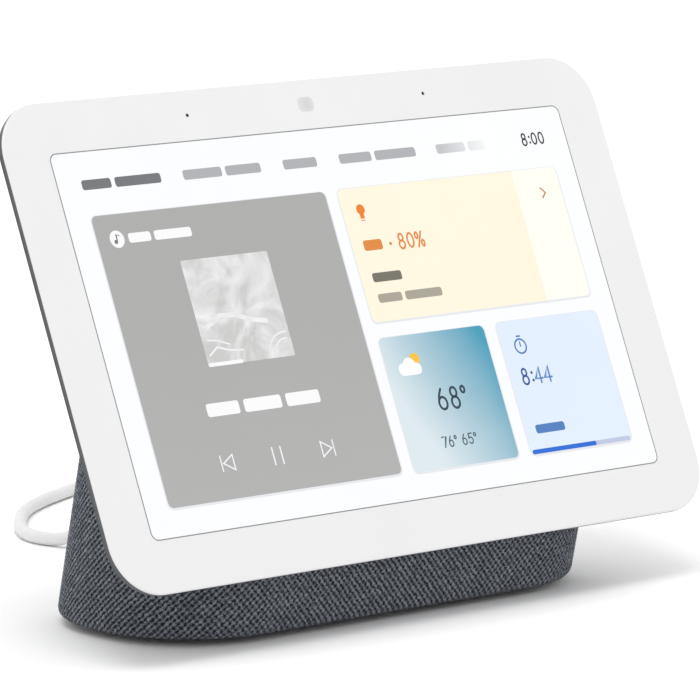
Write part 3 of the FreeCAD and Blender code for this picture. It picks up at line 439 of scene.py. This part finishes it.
def fabric_material():
    """Two-tone knit: slightly pulled stitches, twisted strands, loose fibres and thicker yarn in places; dark
    specks at random, and painted shade darkening the low places between the stitches.
    """
    p = Paint("knit_charcoal")
    where = p.node("Attribute", {"attribute_name": "knit"}).outputs["Vector"]
    pull = p.node("TexNoise", Vector=where, Scale=0.9, Detail=2.0).outputs["Color"]
    moved = p.vector("MULTIPLY_ADD", p.vector("SUBTRACT", pull, (0.5, 0.5, 0.5)), (0.95, 0.95, 0.95), where)
    a, b, height = stitch_pattern(p, moved)
    half_a, half_b = p.math("MULTIPLY", a, 0.5), p.math("MULTIPLY", b, 0.5)
    stitch = p.node("CombineXYZ", X=p.math("ROUND", half_a), Y=p.math("ROUND", half_b)).outputs[0]
    chance = p.node("TexWhiteNoise", {"noise_dimensions": "2D"}, Vector=stitch).outputs["Value"]
    twist = p.node("CombineXYZ", X=p.math("MULTIPLY", a, 3.6), Y=p.math("MULTIPLY", b, 0.9)).outputs[0]
    strands = p.noise(1.0, 2.0, 0.6, where=twist)
    fibre = p.noise(1.0, 3.0, 0.7, where=where, stretch=(6.0, 6.0, 6.0))
    slub = p.noise(1.0, 3.0, 0.6, where=where, stretch=(0.14, 0.3, 0.3))
    specks = p.noise(1.0, 3.0, 0.75, where=where, stretch=(2.4, 2.0, 2.0))
    dark, middle, light = rgb(12, 17, 25), rgb(68, 73, 83), rgb(158, 163, 173)
    yarn = p.mix(p.spread(chance, 0.0, 1.0, 0.25, 1.0), middle, light)
    yarn = p.mix(p.spread(slub, 0.0, 0.4), yarn, rgb(62, 66, 76))
    yarn = p.mix(p.spread(strands, 0.0, 0.75, 0.38, 0.62), shade(light, 0.9), yarn)
    yarn = p.mix(p.spread(fibre, 0.0, 0.4, 0.42, 0.66), yarn, dark)
    # dark specks at random, plus painted shade: the lower a stitch's height, the darker its colour
    specks_and_pit_shade = p.math("MULTIPLY_ADD", specks, 2.3, p.math("MULTIPLY_ADD", height, 0.85, -1.08))
    tone = p.mix(p.spread(specks_and_pit_shade, 0.0, 1.0, 0.2, 0.98), dark, yarn)
    loose = p.math("MULTIPLY_ADD", fibre, 0.25, p.math("MULTIPLY_ADD", strands, 0.5, height))
    return p.finish(
        Base_Color=tone, Roughness=0.92, Normal=p.bump(loose, 0.7, 0.0003), Specular_IOR_Level=0.2,
        Sheen_Weight=0.15, Sheen_Roughness=0.45, Sheen_Tint=rgb(190, 196, 208))


def outward(kind, share, inset, z):
    """Point of the base's outline, and the level direction straight out of it."""
    x, y = section_point(kind, share, inset, z)
    ahead = section_point(kind, min(1, share + NEARBY), inset, z)
    behind = section_point(kind, max(0, share - NEARBY), inset, z)
    along = Vector((ahead[0] - behind[0], ahead[1] - behind[1], 0)).normalized()
    return Vector((x, y, z)), Vector((along.y, -along.x, 0))


def sleeve_column(place, top, levels):
    """(point, place on the cloth) from the hem's inner edge, up the side, to the edge behind the head."""
    kind, share, distance = place
    column = []
    for inset, z, below in hem_rows():
        at, out = outward(kind, share, inset, z)
        swell = RELIEF * knit_relief(distance, -below) * (HEM_RELIEF if inset < HEM_EDGE else 0)
        turned = math.pi / 2 * min(1.0, below / (HEM_ROUND * math.pi / 2))
        facing = out * math.cos(turned) - Vector((0, 0, math.sin(turned)))
        column.append((at + facing * swell, (distance, -below, 0)))
    for k, level in enumerate(levels):
        z = min(level, top)
        at, out = outward(kind, share, 0, z)
        fade = smooth((top - z) / RELIEF_FADE)
        column.append((at + out * RELIEF * knit_relief(distance, k * ROW) * fade, (distance, k * ROW, 0)))
        if level >= top:
            break
    at, out = outward(kind, share, 0, top)
    for inward, rise in TUCK:
        column.append((at - out * inward + Vector((0, 0, rise)), (distance, (len(column) + 1) * ROW, 0)))
    return column


def strip_faces(columns):
    """Faces between each column of point numbers and the next; a short column repeats its last point."""
    faces = []
    for here, there in zip(columns, columns[1:]):
        for j in range(max(len(here), len(there)) - 1):
            a, b = here[min(j, len(here) - 1)], there[min(j, len(there) - 1)]
            c, d = there[min(j + 1, len(there) - 1)], here[min(j + 1, len(here) - 1)]
            ring = list(dict.fromkeys((a, b, c, d)))
            if len(ring) > 2:
                faces.append(ring)
    return faces


def cut_jack_hole(points, faces):
    """Faces left round the jack's hole; the points inside it move out to its rim."""
    across, height, radius = JACK
    inside = {}
    for k, at in enumerate(points):
        away = math.hypot(at.x - across, at.z - height)
        if at.y > JACK_BEHIND and away < radius:
            inside[k] = max(1e-6, away)
    kept = [face for face in faces if not all(k in inside for k in face)]
    for k, away in inside.items():
        at = points[k]
        x = across + (at.x - across) * radius / away
        z = height + (at.z - height) * radius / away
        points[k] = Vector((x, at.y, z))
    return kept


def make_fabric():
    """Knit sleeve: hem turned under the base, sides with raised stitches, edge tucked behind the head."""
    places = column_places()
    tops = [edge_height(kind, share) for kind, share, _ in places]
    side_low = FABRIC_BOTTOM + HEM_ROUND
    step = ROW * math.cos(math.atan(BASE_LEAN))
    levels = [side_low + k * step for k in range(int((max(tops) - side_low) / step) + 2)]
    points, knit, numbers = [], [], []
    for place, top in zip(places, tops):
        column = sleeve_column(place, top, levels)
        numbers.append(range(len(points), len(points) + len(column)))
        points += [point for point, _ in column]
        knit += [spot for _, spot in column]
    faces = cut_jack_hole(points, strip_faces(numbers))
    used = sorted({k for face in faces for k in face})
    new = {k: n for n, k in enumerate(used)}
    mesh = mesh_of("fabric_knit", [points[k] for k in used], [[new[k] for k in face] for face in faces])
    layer = mesh.attributes.new("knit", "FLOAT_VECTOR", "POINT")
    layer.data.foreach_set("vector", [c for k in used for c in knit[k]])
    sleeve = link("fabric_knit", mesh, fabric_material())
    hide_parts("fabric_sleeve")


# ---------------------------------------------------------------- display picture
# Its places are in millimetres on the glass: across from the middle, and up the slope from the lower edge.
PICTURE_SHIFT = -0.3           # the glass bends the view, so the picture looks this far to the left
LAYER_STEP = 0.012             # height from one layer of shapes to the next
SCREEN = (-76.23, 76.23, 11.94, 100.01)        # left, right, bottom and top, as in the lines below
SCREEN_CORNER = 1.8
MUSIC_CARD = (-69.5, -1.76, 18.4, 85.17)
LAMP_CARD = (1.93, 69.9, 53.6, 85.3)
WEATHER_CARD = (1.93, 34.07, 18.1, 49.8)
TIMER_CARD = (38.0, 69.9, 18.1, 49.9)
CARD_CORNER = 1.4
LAMP_LEVEL = 55.98             # the lamp card's bright part ends here
SENSOR_UP = 106.0              # middle of the light sensor's window
SENSOR_WINDOW = (-2.3, 2.3, SENSOR_UP - 1.75, SENSOR_UP + 1.75)


def rounded(u0, u1, v0, v1, r, steps=6):
    """Outline of a rectangle with round corners."""
    r = min(r, (u1 - u0) / 2, (v1 - v0) / 2)
    left, right, low, high = u0 + r, u1 - r, v0 + r, v1 - r
    ring = []
    for u, v, start in ((right, low, -90), (right, high, 0), (left, high, 90), (left, low, 180)):
        ring += circle(u, v, r, steps, start, 90)
    return ring


def circle(u, v, r, steps=28, start=0.0, sweep=360.0):
    """Points of a circle, or of an arc with both its ends."""
    ring = []
    for k in range(steps + (0 if sweep >= 360 else 1)):
        a = math.radians(start + sweep * k / steps)
        ring.append((u + r * math.cos(a), v + r * math.sin(a)))
    return ring


class Layer:
    """Flat shapes of one colour, just above the glass."""

    def __init__(self, height):
        self.height = height
        self.points = []
        self.faces = []

    def area(self, ring):
        start = len(self.points)
        self.points += [head_point(u + PICTURE_SHIFT, v, self.height) for u, v in ring]
        self.faces.append(list(range(start, start + len(ring))))
        return self

    def bar(self, u0, u1, v0, v1):
        return self.area(rounded(u0, u1, v0, v1, 0.6, 4))

    def line(self, path, width, closed=False):
        """Stroke with pointed joins, no longer than twice its width, and rounded ends."""
        n = len(path)
        start = len(self.points)
        for k, (u, v) in enumerate(path):
            before = path[k - 1] if k or closed else path[k]
            after = path[(k + 1) % n] if k < n - 1 or closed else path[k]
            du, dv = after[0] - before[0], after[1] - before[1]
            size = math.hypot(du, dv) or 1.0
            nu, nv = -dv / size * width / 2, du / size * width / 2
            widen = 1.0
            if before != path[k] and after != path[k]:
                a = math.atan2(path[k][1] - before[1], path[k][0] - before[0])
                b = math.atan2(after[1] - path[k][1], after[0] - path[k][0])
                widen = 1 / max(0.5, abs(math.cos((b - a) / 2)))
            for way in (widen, -widen):
                self.points.append(head_point(u + PICTURE_SHIFT + nu * way, v + nv * way, self.height))
        for k in range(n if closed else n - 1):
            a, b = start + 2 * k, start + 2 * ((k + 1) % n)
            self.faces.append([a, a + 1, b + 1, b])
        if not closed:
            for u, v in (path[0], path[-1]):
                self.area(circle(u, v, width / 2, 12))
        return self


# Strokes of each figure, on a field of one by one: points that lines join, or an arc's middle, radii, start
# and sweep.
GLYPHS = {
    "0": [(0.5, 0.5, 0.36, 0.46, 0, 360)],
    "4": [[(0.66, 0.0), (0.66, 0.97), (0.08, 0.27), (0.92, 0.27)]],
    "5": [[(0.82, 0.97), (0.26, 0.97), (0.2, 0.52)], (0.48, 0.32, 0.36, 0.3, 140, -290)],
    "6": [(0.5, 0.3, 0.35, 0.29, 0, 360), [(0.16, 0.36), (0.3, 0.68), (0.56, 0.97)]],
    "7": [[(0.12, 0.97), (0.88, 0.97), (0.38, 0.0)]],
    "8": [(0.5, 0.75, 0.27, 0.23, 0, 360), (0.5, 0.27, 0.34, 0.27, 0, 360)],
    ":": [(0.25, 0.68, 0.03, 0.03, 0, 360), (0.25, 0.2, 0.03, 0.03, 0, 360)],
    "%": [(0.22, 0.76, 0.17, 0.2, 0, 360), (0.86, 0.22, 0.17, 0.2, 0, 360), [(0.86, 0.98), (0.22, 0.0)]],
    "o": [(0.25, 0.82, 0.17, 0.15, 0, 360)],
}
ADVANCE = {":": 0.5, "%": 1.2, "o": 0.55}
USUAL_ADVANCE = 1.12
FIGURE_WIDE = 0.68             # a figure's width for a height of one
ARC_STEPS = 22


def figures(layer, text, u, v, high, width):
    """Draws numbers with plain strokes, from their lower left corner; returns where the next one would go."""
    wide = high * FIGURE_WIDE
    for letter in text:
        for stroke in GLYPHS[letter]:
            if isinstance(stroke, list):
                path, closed = [(u + x * wide, v + y * high) for x, y in stroke], False
            else:
                x, y, rx, ry, start, sweep = stroke
                closed = sweep == 360
                path = []
                for k in range(ARC_STEPS + (0 if closed else 1)):
                    a = math.radians(start + sweep * k / ARC_STEPS)
                    path.append((u + (x + rx * math.cos(a)) * wide, v + (y + ry * math.sin(a)) * high))
            layer.line(path, width, closed)
        u += ADVANCE.get(letter, USUAL_ADVANCE) * wide
    return u


def lit(name, colour, second=None, fade=None):
    """Lit part of the display: its colour as light, a little uneven, with a faint grid of picture dots.
    A second colour comes in from the first point of fade to the second, both across and up the panel;
    without those points it swirls through the first."""
    p = Paint(name)
    place = p.place()
    tone = p.mix(p.spread(p.noise(26.0, 2.0, 0.5), 0.0, 1.0), shade(colour, 0.985), colour)
    if second and not fade:
        swirl = p.node("TexNoise", Vector=place, Scale=75.0, Detail=5.0, Roughness=0.55, Distortion=2.4)
        tone = p.mix(p.spread(swirl.outputs["Fac"], 0.0, 1.0, 0.38, 0.7), tone, second)
    elif second:
        start, end = (Vector(head_point(*at, 0.0)) * MM for at in fade)
        along = (end - start) / (end - start).length_squared
        cloudy = p.math("MULTIPLY_ADD", p.noise(45.0, 2.0), 0.24, -0.12)
        share = p.math("ADD", p.vector("DOT_PRODUCT", p.vector("SUBTRACT", place, start), along), cloudy)
        tone = p.mix(p.spread(share, 0.0, 1.0, 0.0, 1.0), tone, second)
    return p.finish(
        Base_Color=(0.01, 0.01, 0.011, 1.0), Roughness=p.spread(p.noise(1400.0, 3.0), 0.08, 0.14),
        Emission_Color=tone, Emission_Strength=p.spread(p.bands("X", 2600.0), 0.985, 1.0, 0.0, 1.0),
        Specular_IOR_Level=0.12)


def sensor_material():
    """Lightly tinted print with a darker spot over the sensor."""
    p = Paint("sensor_tint")
    away = p.vector("DISTANCE", p.place(), Vector(head_point(0, SENSOR_UP, 0)) * MM)
    tone = p.mix(p.spread(away, 0.0, 1.0, 0.0003, 0.0026), rgb(190, 191, 191), rgb(204, 204, 204))
    return p.finish(Base_Color=tone, Roughness=p.spread(p.noise(900.0), 0.16, 0.24), Specular_IOR_Level=0.3)


def on(level):
    """New layer, so many steps above the glass."""
    return Layer(LAYER_STEP * level)


def show(name, layer, colour, **how):
    link(name, mesh_of(name, layer.points, layer.faces, smooth=False), lit(name, colour, **how))


def words(layer, v, high, *spans):
    """Rounded bars that stand for a line of words."""
    for u0, u1 in spans:
        layer.bar(u0, u1, v, v + high)
    return layer


def show_ground():
    """White ground of the screen, with a thin outline."""
    show("screen_ground", on(1).area(rounded(*SCREEN, SCREEN_CORNER)), rgb(251, 252, 254))
    outline = on(2).line(rounded(*SCREEN, SCREEN_CORNER, 10), 0.26, closed=True)
    show("screen_outline", outline, rgb(140, 141, 142))


def show_tabs():
    """Row of tabs along the top, the first one chosen, and the clock."""
    v, high = 91.2, 2.3
    show("tab_chosen", words(on(2), v, high, (-69.5, -61.3), (-60.2, -47.2)), rgb(116, 118, 121))
    others = words(on(2), v, high, (-40.8, -29.6), (-28.5, -18.2), (-11.5, -1.5), (5.3, 15.0), (16.1, 28.6))
    show("tab_others", others, rgb(176, 178, 181))
    fading = words(on(2), v, high, (35.1, 44.0), (45.1, 50.3))
    show("tab_fading", fading, rgb(196, 198, 202), second=rgb(246, 247, 249), fade=((36, 92), (50, 92)))
    clock = on(2)
    figures(clock, "8:00", 61.9, 91.1, 2.9, 0.42)
    show("clock_figures", clock, rgb(32, 33, 36))


def show_card_shadows():
    soft = on(2)
    for left, right, low, high in (MUSIC_CARD, LAMP_CARD, WEATHER_CARD, TIMER_CARD):
        soft.area(rounded(left - 0.35, right + 0.35, low - 0.55, high + 0.15, 1.7))
    show("card_shadows", soft, rgb(232, 234, 238))


def show_sensor_window():
    """Printed window of the light sensor, above the screen."""
    tint = on(1).area(rounded(*SENSOR_WINDOW, 1.2))
    mesh = mesh_of("sensor_tint", tint.points, tint.faces, smooth=False)
    link("sensor_tint", mesh, sensor_material())


def show_music():
    """Card with an abstract cover, a title and the keys to play."""
    card = on(3).area(rounded(*MUSIC_CARD, CARD_CORNER))
    show("music_card", card, rgb(173, 174, 172), second=rgb(177, 177, 176), fade=((-35, 60), (-35, 18)))
    art = on(4).area(rounded(-48.2, -23.07, 48.5, 73.0, 0.3))
    show("art_ground", art, rgb(204, 204, 203), second=rgb(240, 240, 240))
    curves = on(5)
    curves.line([(-45.6, 57.4), (-41.5, 59.6), (-37.0, 59.4), (-33.0, 57.9), (-28.6, 57.2)], 1.1)
    curves.line([(-47.0, 50.9), (-44.4, 52.6), (-41.2, 51.6), (-37.4, 51.3)], 0.4)
    curves.line([(-46.6, 54.4), (-43.6, 54.0), (-40.6, 52.9)], 0.35)
    for radius in (4.0, 5.5):
        curves.line(circle(-24.6, 48.7, radius, 24, 85, 90), 0.4)
    show("art_curves", curves, rgb(246, 246, 246), second=rgb(226, 226, 226))
    white = on(6)
    white.bar(-48.2, -38.2, 48.35, 49.2)
    white.area(circle(-63.9, 79.45, 2.0))
    words(white, 78.3, 2.2, (-60.7, -54.4), (-53.4, -42.8))
    words(white, 37.2, 3.0, (-52.1, -42.8), (-41.4, -30.6), (-29.2, -19.4))
    show("music_white", white, rgb(250, 250, 250))
    note = on(7).area(circle(-64.35, 78.85, 0.5, 16))
    note.line([(-63.95, 78.9), (-63.95, 80.5), (-63.2, 80.2)], 0.28)
    show("music_note", note, rgb(120, 123, 128))
    keys = on(4)
    for u, way in ((-50.0, -1), (-21.4, 1)):
        keys.line([(u - 1.5 * way, 24.8), (u + 1.4 * way, 26.55), (u - 1.5 * way, 28.3)], 0.34, closed=True)
        keys.line([(u + 2.0 * way, 24.8), (u + 2.0 * way, 28.3)], 0.34)
    for u in (-37.0, -34.6):
        keys.line([(u, 24.6), (u, 28.5)], 0.38)
    show("music_keys", keys, rgb(244, 245, 246))


def show_lamp():
    """Card of a dimmed lamp: the bright part shows its level."""
    left, _, low, high = LAMP_CARD
    show("lamp_card", on(3).area(rounded(*LAMP_CARD, CARD_CORNER)), rgb(255, 253, 243))
    level = rounded(left, LAMP_LEVEL + 2 * CARD_CORNER, low, high, CARD_CORNER)
    show("lamp_level", on(4).area([(min(u, LAMP_LEVEL), v) for u, v in level]), rgb(254, 247, 224))
    bulb = on(5).area(circle(7.4, 80.1, 1.25)).area(rounded(6.75, 8.05, 77.9, 79.2, 0.3))
    bulb.line([(6.9, 77.5), (7.9, 77.5)], 0.22)
    show("lamp_bulb", bulb, rgb(244, 129, 32))
    state = words(on(5), 70.3, 2.5, (5.4, 11.0)).area(circle(13.5, 71.4, 0.42, 16))
    figures(state, "80%", 15.7, 69.9, 3.6, 0.5)
    show("lamp_state", state, rgb(226, 138, 62))
    show("lamp_name", words(on(5), 62.8, 2.2, (5.4, 14.2)), rgb(118, 114, 102))
    show("lamp_room", words(on(5), 57.9, 2.1, (5.4, 12.6), (13.6, 24.8)), rgb(170, 165, 150))
    show("lamp_chevron", on(5).line([(63.6, 80.5), (64.8, 79.3), (63.6, 78.1)], 0.36), rgb(190, 112, 52))


def show_weather():
    """Card with the sun behind a cloud and the temperatures."""
    card = on(3).area(rounded(*WEATHER_CARD, CARD_CORNER))
    show("weather_card", card, rgb(222, 234, 239), second=rgb(66, 157, 186), fade=((8, 24), (36, 38)))
    show("weather_sun", on(4).area(circle(11.0, 44.0, 1.5)), rgb(250, 196, 60))
    cloud = on(5).area(circle(7.0, 41.9, 1.45)).area(circle(9.0, 42.6, 1.95)).area(circle(11.0, 41.8, 1.4))
    cloud.area(rounded(6.9, 11.1, 40.42, 42.2, 0.5))
    show("weather_cloud", cloud, rgb(255, 255, 255))
    now = on(4)
    figures(now, "68o", 14.2, 31.5, 5.0, 0.6)
    show("weather_figures", now, rgb(46, 66, 78))
    extremes = on(4)
    figures(extremes, "76o", 12.3, 22.8, 2.5, 0.34)
    figures(extremes, "65o", 18.3, 22.8, 2.5, 0.34)
    show("weather_range", extremes, rgb(74, 96, 108))


def show_timer():
    """Card of a running timer, with its progress along the bottom."""
    show("timer_card", on(3).area(rounded(*TIMER_CARD, CARD_CORNER)), rgb(228, 239, 254))
    show("timer_track", on(4).area(rounded(38.4, 69.5, 18.12, 19.2, 0.5)), rgb(193, 200, 226))
    show("timer_done", on(5).area(rounded(38.4, 58.6, 18.12, 19.2, 0.5)), rgb(36, 108, 214))
    watch = on(4).line(circle(43.8, 43.7, 1.7, 32), 0.42, closed=True)
    watch.line([(43.8, 43.7), (43.8, 44.7)], 0.36)
    watch.line([(43.3, 46.1), (44.3, 46.1)], 0.4)
    show("timer_icon", watch, rgb(66, 120, 190))
    minutes = on(4)
    after = figures(minutes, "8:", 41.3, 34.6, 3.8, 0.5)
    show("timer_minutes", minutes, rgb(44, 84, 150))
    seconds = on(4)
    figures(seconds, "44", after, 34.6, 3.8, 0.5)
    show("timer_seconds", seconds, rgb(96, 140, 200))
    show("timer_label", words(on(4), 22.8, 2.1, (41.3, 50.4)), rgb(78, 126, 192))


def make_picture():
    """The display's picture: a generic home screen with cards, numbers and icons."""
    show_ground()
    show_tabs()
    show_card_shadows()
    show_sensor_window()
    show_music()
    show_lamp()
    show_weather()
    show_timer()


# ---------------------------------------------------------------- finishes of the CAD nodes
PRINT_DEPTH = (0.0004, 0.00025)        # from the dark side to the white print, below the glass's front


def bezel_material():
    """White print behind the glass, with a dark band round the edge of the glass."""
    p = Paint("bezel_white")
    out = Vector((0, -LEAN_COS, LEAN_SIN))
    level = out.dot(Vector(head_point(0, 0, 0)) * MM)
    low, high = (level - depth for depth in PRINT_DEPTH)
    front = p.spread(p.vector("DOT_PRODUCT", p.place(), out), 0.0, 1.0, low, high)
    print_tone = p.mix(p.spread(p.noise(30.0, 3.0), 0.0, 1.0), rgb(213, 213, 213), rgb(216, 216, 216))
    edge_tone = p.mix(p.spread(p.noise(600.0, 3.0), 0.0, 1.0), rgb(56, 58, 61), rgb(66, 69, 72))
    smear = p.spread(p.noise(150.0, 5.0, 0.65, stretch=(1.0, 1.0, 0.35)), 0.10, 0.2)
    return p.finish(
        Base_Color=p.mix(front, edge_tone, print_tone), Roughness=0.42, Specular_IOR_Level=0.3,
        Coat_Weight=0.5, Coat_Roughness=smear, Coat_Normal=p.bump(p.noise(900.0, 2.0), 0.08, 0.00002))


def board_material(name, colour):
    """Circuit board: resist over a faint pattern of tracks."""
    p = Paint(name)
    tracks = p.node(
        "TexBrick", {"offset": 0.37}, Vector=p.place(), Scale=420.0, Mortar_Size=0.03,
        Color1=shade(colour, 1.0), Color2=shade(colour, 1.18), Mortar=shade(colour, 1.7)).outputs
    tone = p.mix(p.spread(p.noise(260.0), 0.0, 0.3), tracks["Color"], shade(colour, 0.7))
    return p.finish(
        Base_Color=tone, Roughness=p.spread(p.noise(500.0), 0.32, 0.45),
        Normal=p.bump(tracks["Fac"], 0.3, 0.00003))


def wound_material(name, colour):
    """Fine winding: close turns round the axis, with a varnished shine."""
    p = Paint(name)
    turns = p.bands("Y", 900.0, Distortion=0.3)
    return p.finish(
        Base_Color=p.mix(turns, shade(colour, 0.6), colour), Roughness=p.spread(p.noise(600.0), 0.25, 0.4),
        Metallic=0.9, Normal=p.bump(turns, 0.6, 0.00008))


def woven_material(name, colour, scale, depth, sheen=0.2):
    """Coarse woven or looped cloth."""
    p = Paint(name)
    warp = p.bands("DIAGONAL", scale, Distortion=1.2, Detail=2.0)
    weft = p.node("TexVoronoi", Vector=p.place(), Scale=scale * 1.9).outputs["Distance"]
    height = p.math("MULTIPLY_ADD", warp, 0.5, weft)
    tone = p.mix(p.spread(height, 0.0, 1.0, 0.1, 0.9), shade(colour, 0.72), colour)
    return p.finish(Base_Color=tone, Roughness=0.9, Normal=p.bump(height, 0.6, depth), Sheen_Weight=sheen)


def brushed(name, colour, rough, grain, depth, streak=None):
    """Bare metal, with its grain drawn out where a streak is given."""
    return moulded(name, colour, rough, grain, depth, metal=1.0, streak=streak)


def finishes():
    """Gives every CAD node the material of its slot in the record."""
    made = {
        "bezel_white": bezel_material(),
        "housing_grey": moulded("housing_grey", rgb(64, 67, 70), 0.5, 4200.0, 0.00004, coat=0.05),
        "base_plastic": moulded("base_plastic", rgb(58, 60, 63), 0.6, 3000.0, 0.00006),
        "foot_rubber": moulded("foot_rubber", rgb(66, 68, 71), 0.78, 2200.0, 0.00008, change=0.1),
        "button_grey": moulded("button_grey", rgb(84, 88, 92), 0.42, 5200.0, 0.00003),
        "cord_white": moulded("cord_white", rgb(219, 219, 218), 0.44, 4800.0, 0.00004, change=0.03),
        "adapter_white": moulded(
            "adapter_white", rgb(222, 222, 221), 0.4, 3600.0, 0.00005, change=0.03, coat=0.1),
        "tie_white": woven_material("tie_white", rgb(232, 232, 229), 900.0, 0.0002),
        "blade_metal": brushed("blade_metal", rgb(214, 211, 204), 0.24, 1500.0, 0.00003, (1.0, 8.0, 0.3)),
        "screw_steel": brushed("screw_steel", rgb(188, 189, 190), 0.3, 2600.0, 0.00003),
        "sheet_steel": brushed("sheet_steel", rgb(182, 184, 186), 0.34, 900.0, 0.00002, (0.2, 4.0, 4.0)),
        "spreader_alu": brushed("spreader_alu", rgb(214, 216, 218), 0.32, 700.0, 0.00002, (0.15, 4.0, 4.0)),
        "magnesium": brushed("magnesium", rgb(150, 152, 155), 0.46, 2400.0, 0.00006),
        "board_green": board_material("board_green", rgb(26, 84, 58)),
        "flex_amber": board_material("flex_amber", rgb(176, 112, 40)),
        "socket_ivory": moulded("socket_ivory", rgb(226, 218, 198), 0.45, 3200.0, 0.00003),
        "component_black": moulded("component_black", rgb(34, 35, 37), 0.5, 5200.0, 0.00003, change=0.15),
        "lcd_dark": moulded("lcd_dark", rgb(28, 30, 34), 0.18, 5000.0, 0.00001, coat=0.4),
        "film_clear": moulded("film_clear", rgb(186, 190, 194), 0.14, 4000.0, 0.00001, coat=0.5),
        "lens_clear": moulded("lens_clear", rgb(205, 206, 206), 0.16, 4000.0, 0.00001, coat=0.5),
        "foam_black": woven_material("foam_black", rgb(40, 41, 43), 1500.0, 0.0002, 0.1),
        "cone_black": woven_material("cone_black", rgb(46, 47, 50), 700.0, 0.0001, 0.1),
        "spider_cloth": woven_material("spider_cloth", rgb(190, 140, 74), 1300.0, 0.0001),
        "coil_copper": wound_material("coil_copper", rgb(206, 122, 70)),
        "ferrite": moulded("ferrite", rgb(62, 63, 66), 0.55, 1800.0, 0.00007, change=0.12),
    }
    hidden = made["component_black"]      # for the sleeve's solid, which the knit mesh replaces
    for part in frame["record"]["subparts"]:
        materials = frame["nodes"][part["node"]].data.materials
        materials.clear()
        materials.append(made.get(part["material_slot"], hidden))


# ---------------------------------------------------------------- floor and light
FLOOR_HALF = 6000.0            # half the floor's side, in millimetres
SKY_LIGHT = 1.02
LAMPS_FACE = (0, 0.02, 0.05)   # the place that the lamps face, in metres


def make_floor():
    far = FLOOR_HALF
    corners = [(-far, -far, 0.0), (far, -far, 0.0), (far, far, 0.0), (-far, far, 0.0)]
    mesh = mesh_of("floor", corners, [[0, 1, 2, 3]])
    p = Paint("floor_white")
    tone = p.mix(p.spread(p.noise(3.0), 0.0, 1.0), rgb(250, 250, 250), rgb(253, 253, 253))
    mesh.materials.append(p.finish(Base_Color=tone, Roughness=0.7, Specular_IOR_Level=0.1))
    floor = bpy.data.objects.new("floor", mesh)
    bpy.context.scene.collection.objects.link(floor)


def make_light(name, place, size, power):
    """Round lamp that faces the display."""
    data = bpy.data.lights.new(name, "AREA")
    data.shape = "DISK"
    data.size = size
    data.energy = power
    lamp = bpy.data.objects.new(name, data)
    lamp.location = place
    lamp.rotation_mode = "QUATERNION"
    lamp.rotation_quaternion = (Vector(place) - Vector(LAMPS_FACE)).to_track_quat("Z", "Y")
    bpy.context.scene.collection.objects.link(lamp)


def make_lights():
    world = bpy.data.worlds.new("studio")
    world.use_nodes = True
    sky = world.node_tree.nodes["Background"]
    sky.inputs["Color"].default_value = (1.0, 1.0, 1.0, 1.0)
    sky.inputs["Strength"].default_value = SKY_LIGHT
    bpy.context.scene.world = world
    make_light("key", (-0.7, -0.6, 2.2), size=1.0, power=16.0)
    make_light("fill", (1.3, -1.0, 0.9), size=0.9, power=0.8)
    make_light("back", (0.3, 1.5, 1.2), size=0.9, power=2.0)
    bpy.context.scene.view_settings.view_transform = "Standard"
    bpy.context.scene.view_settings.look = "None"


make_camera()
lead = make_cord()
make_fabric()
make_picture()
finishes()
make_floor()
make_lights()
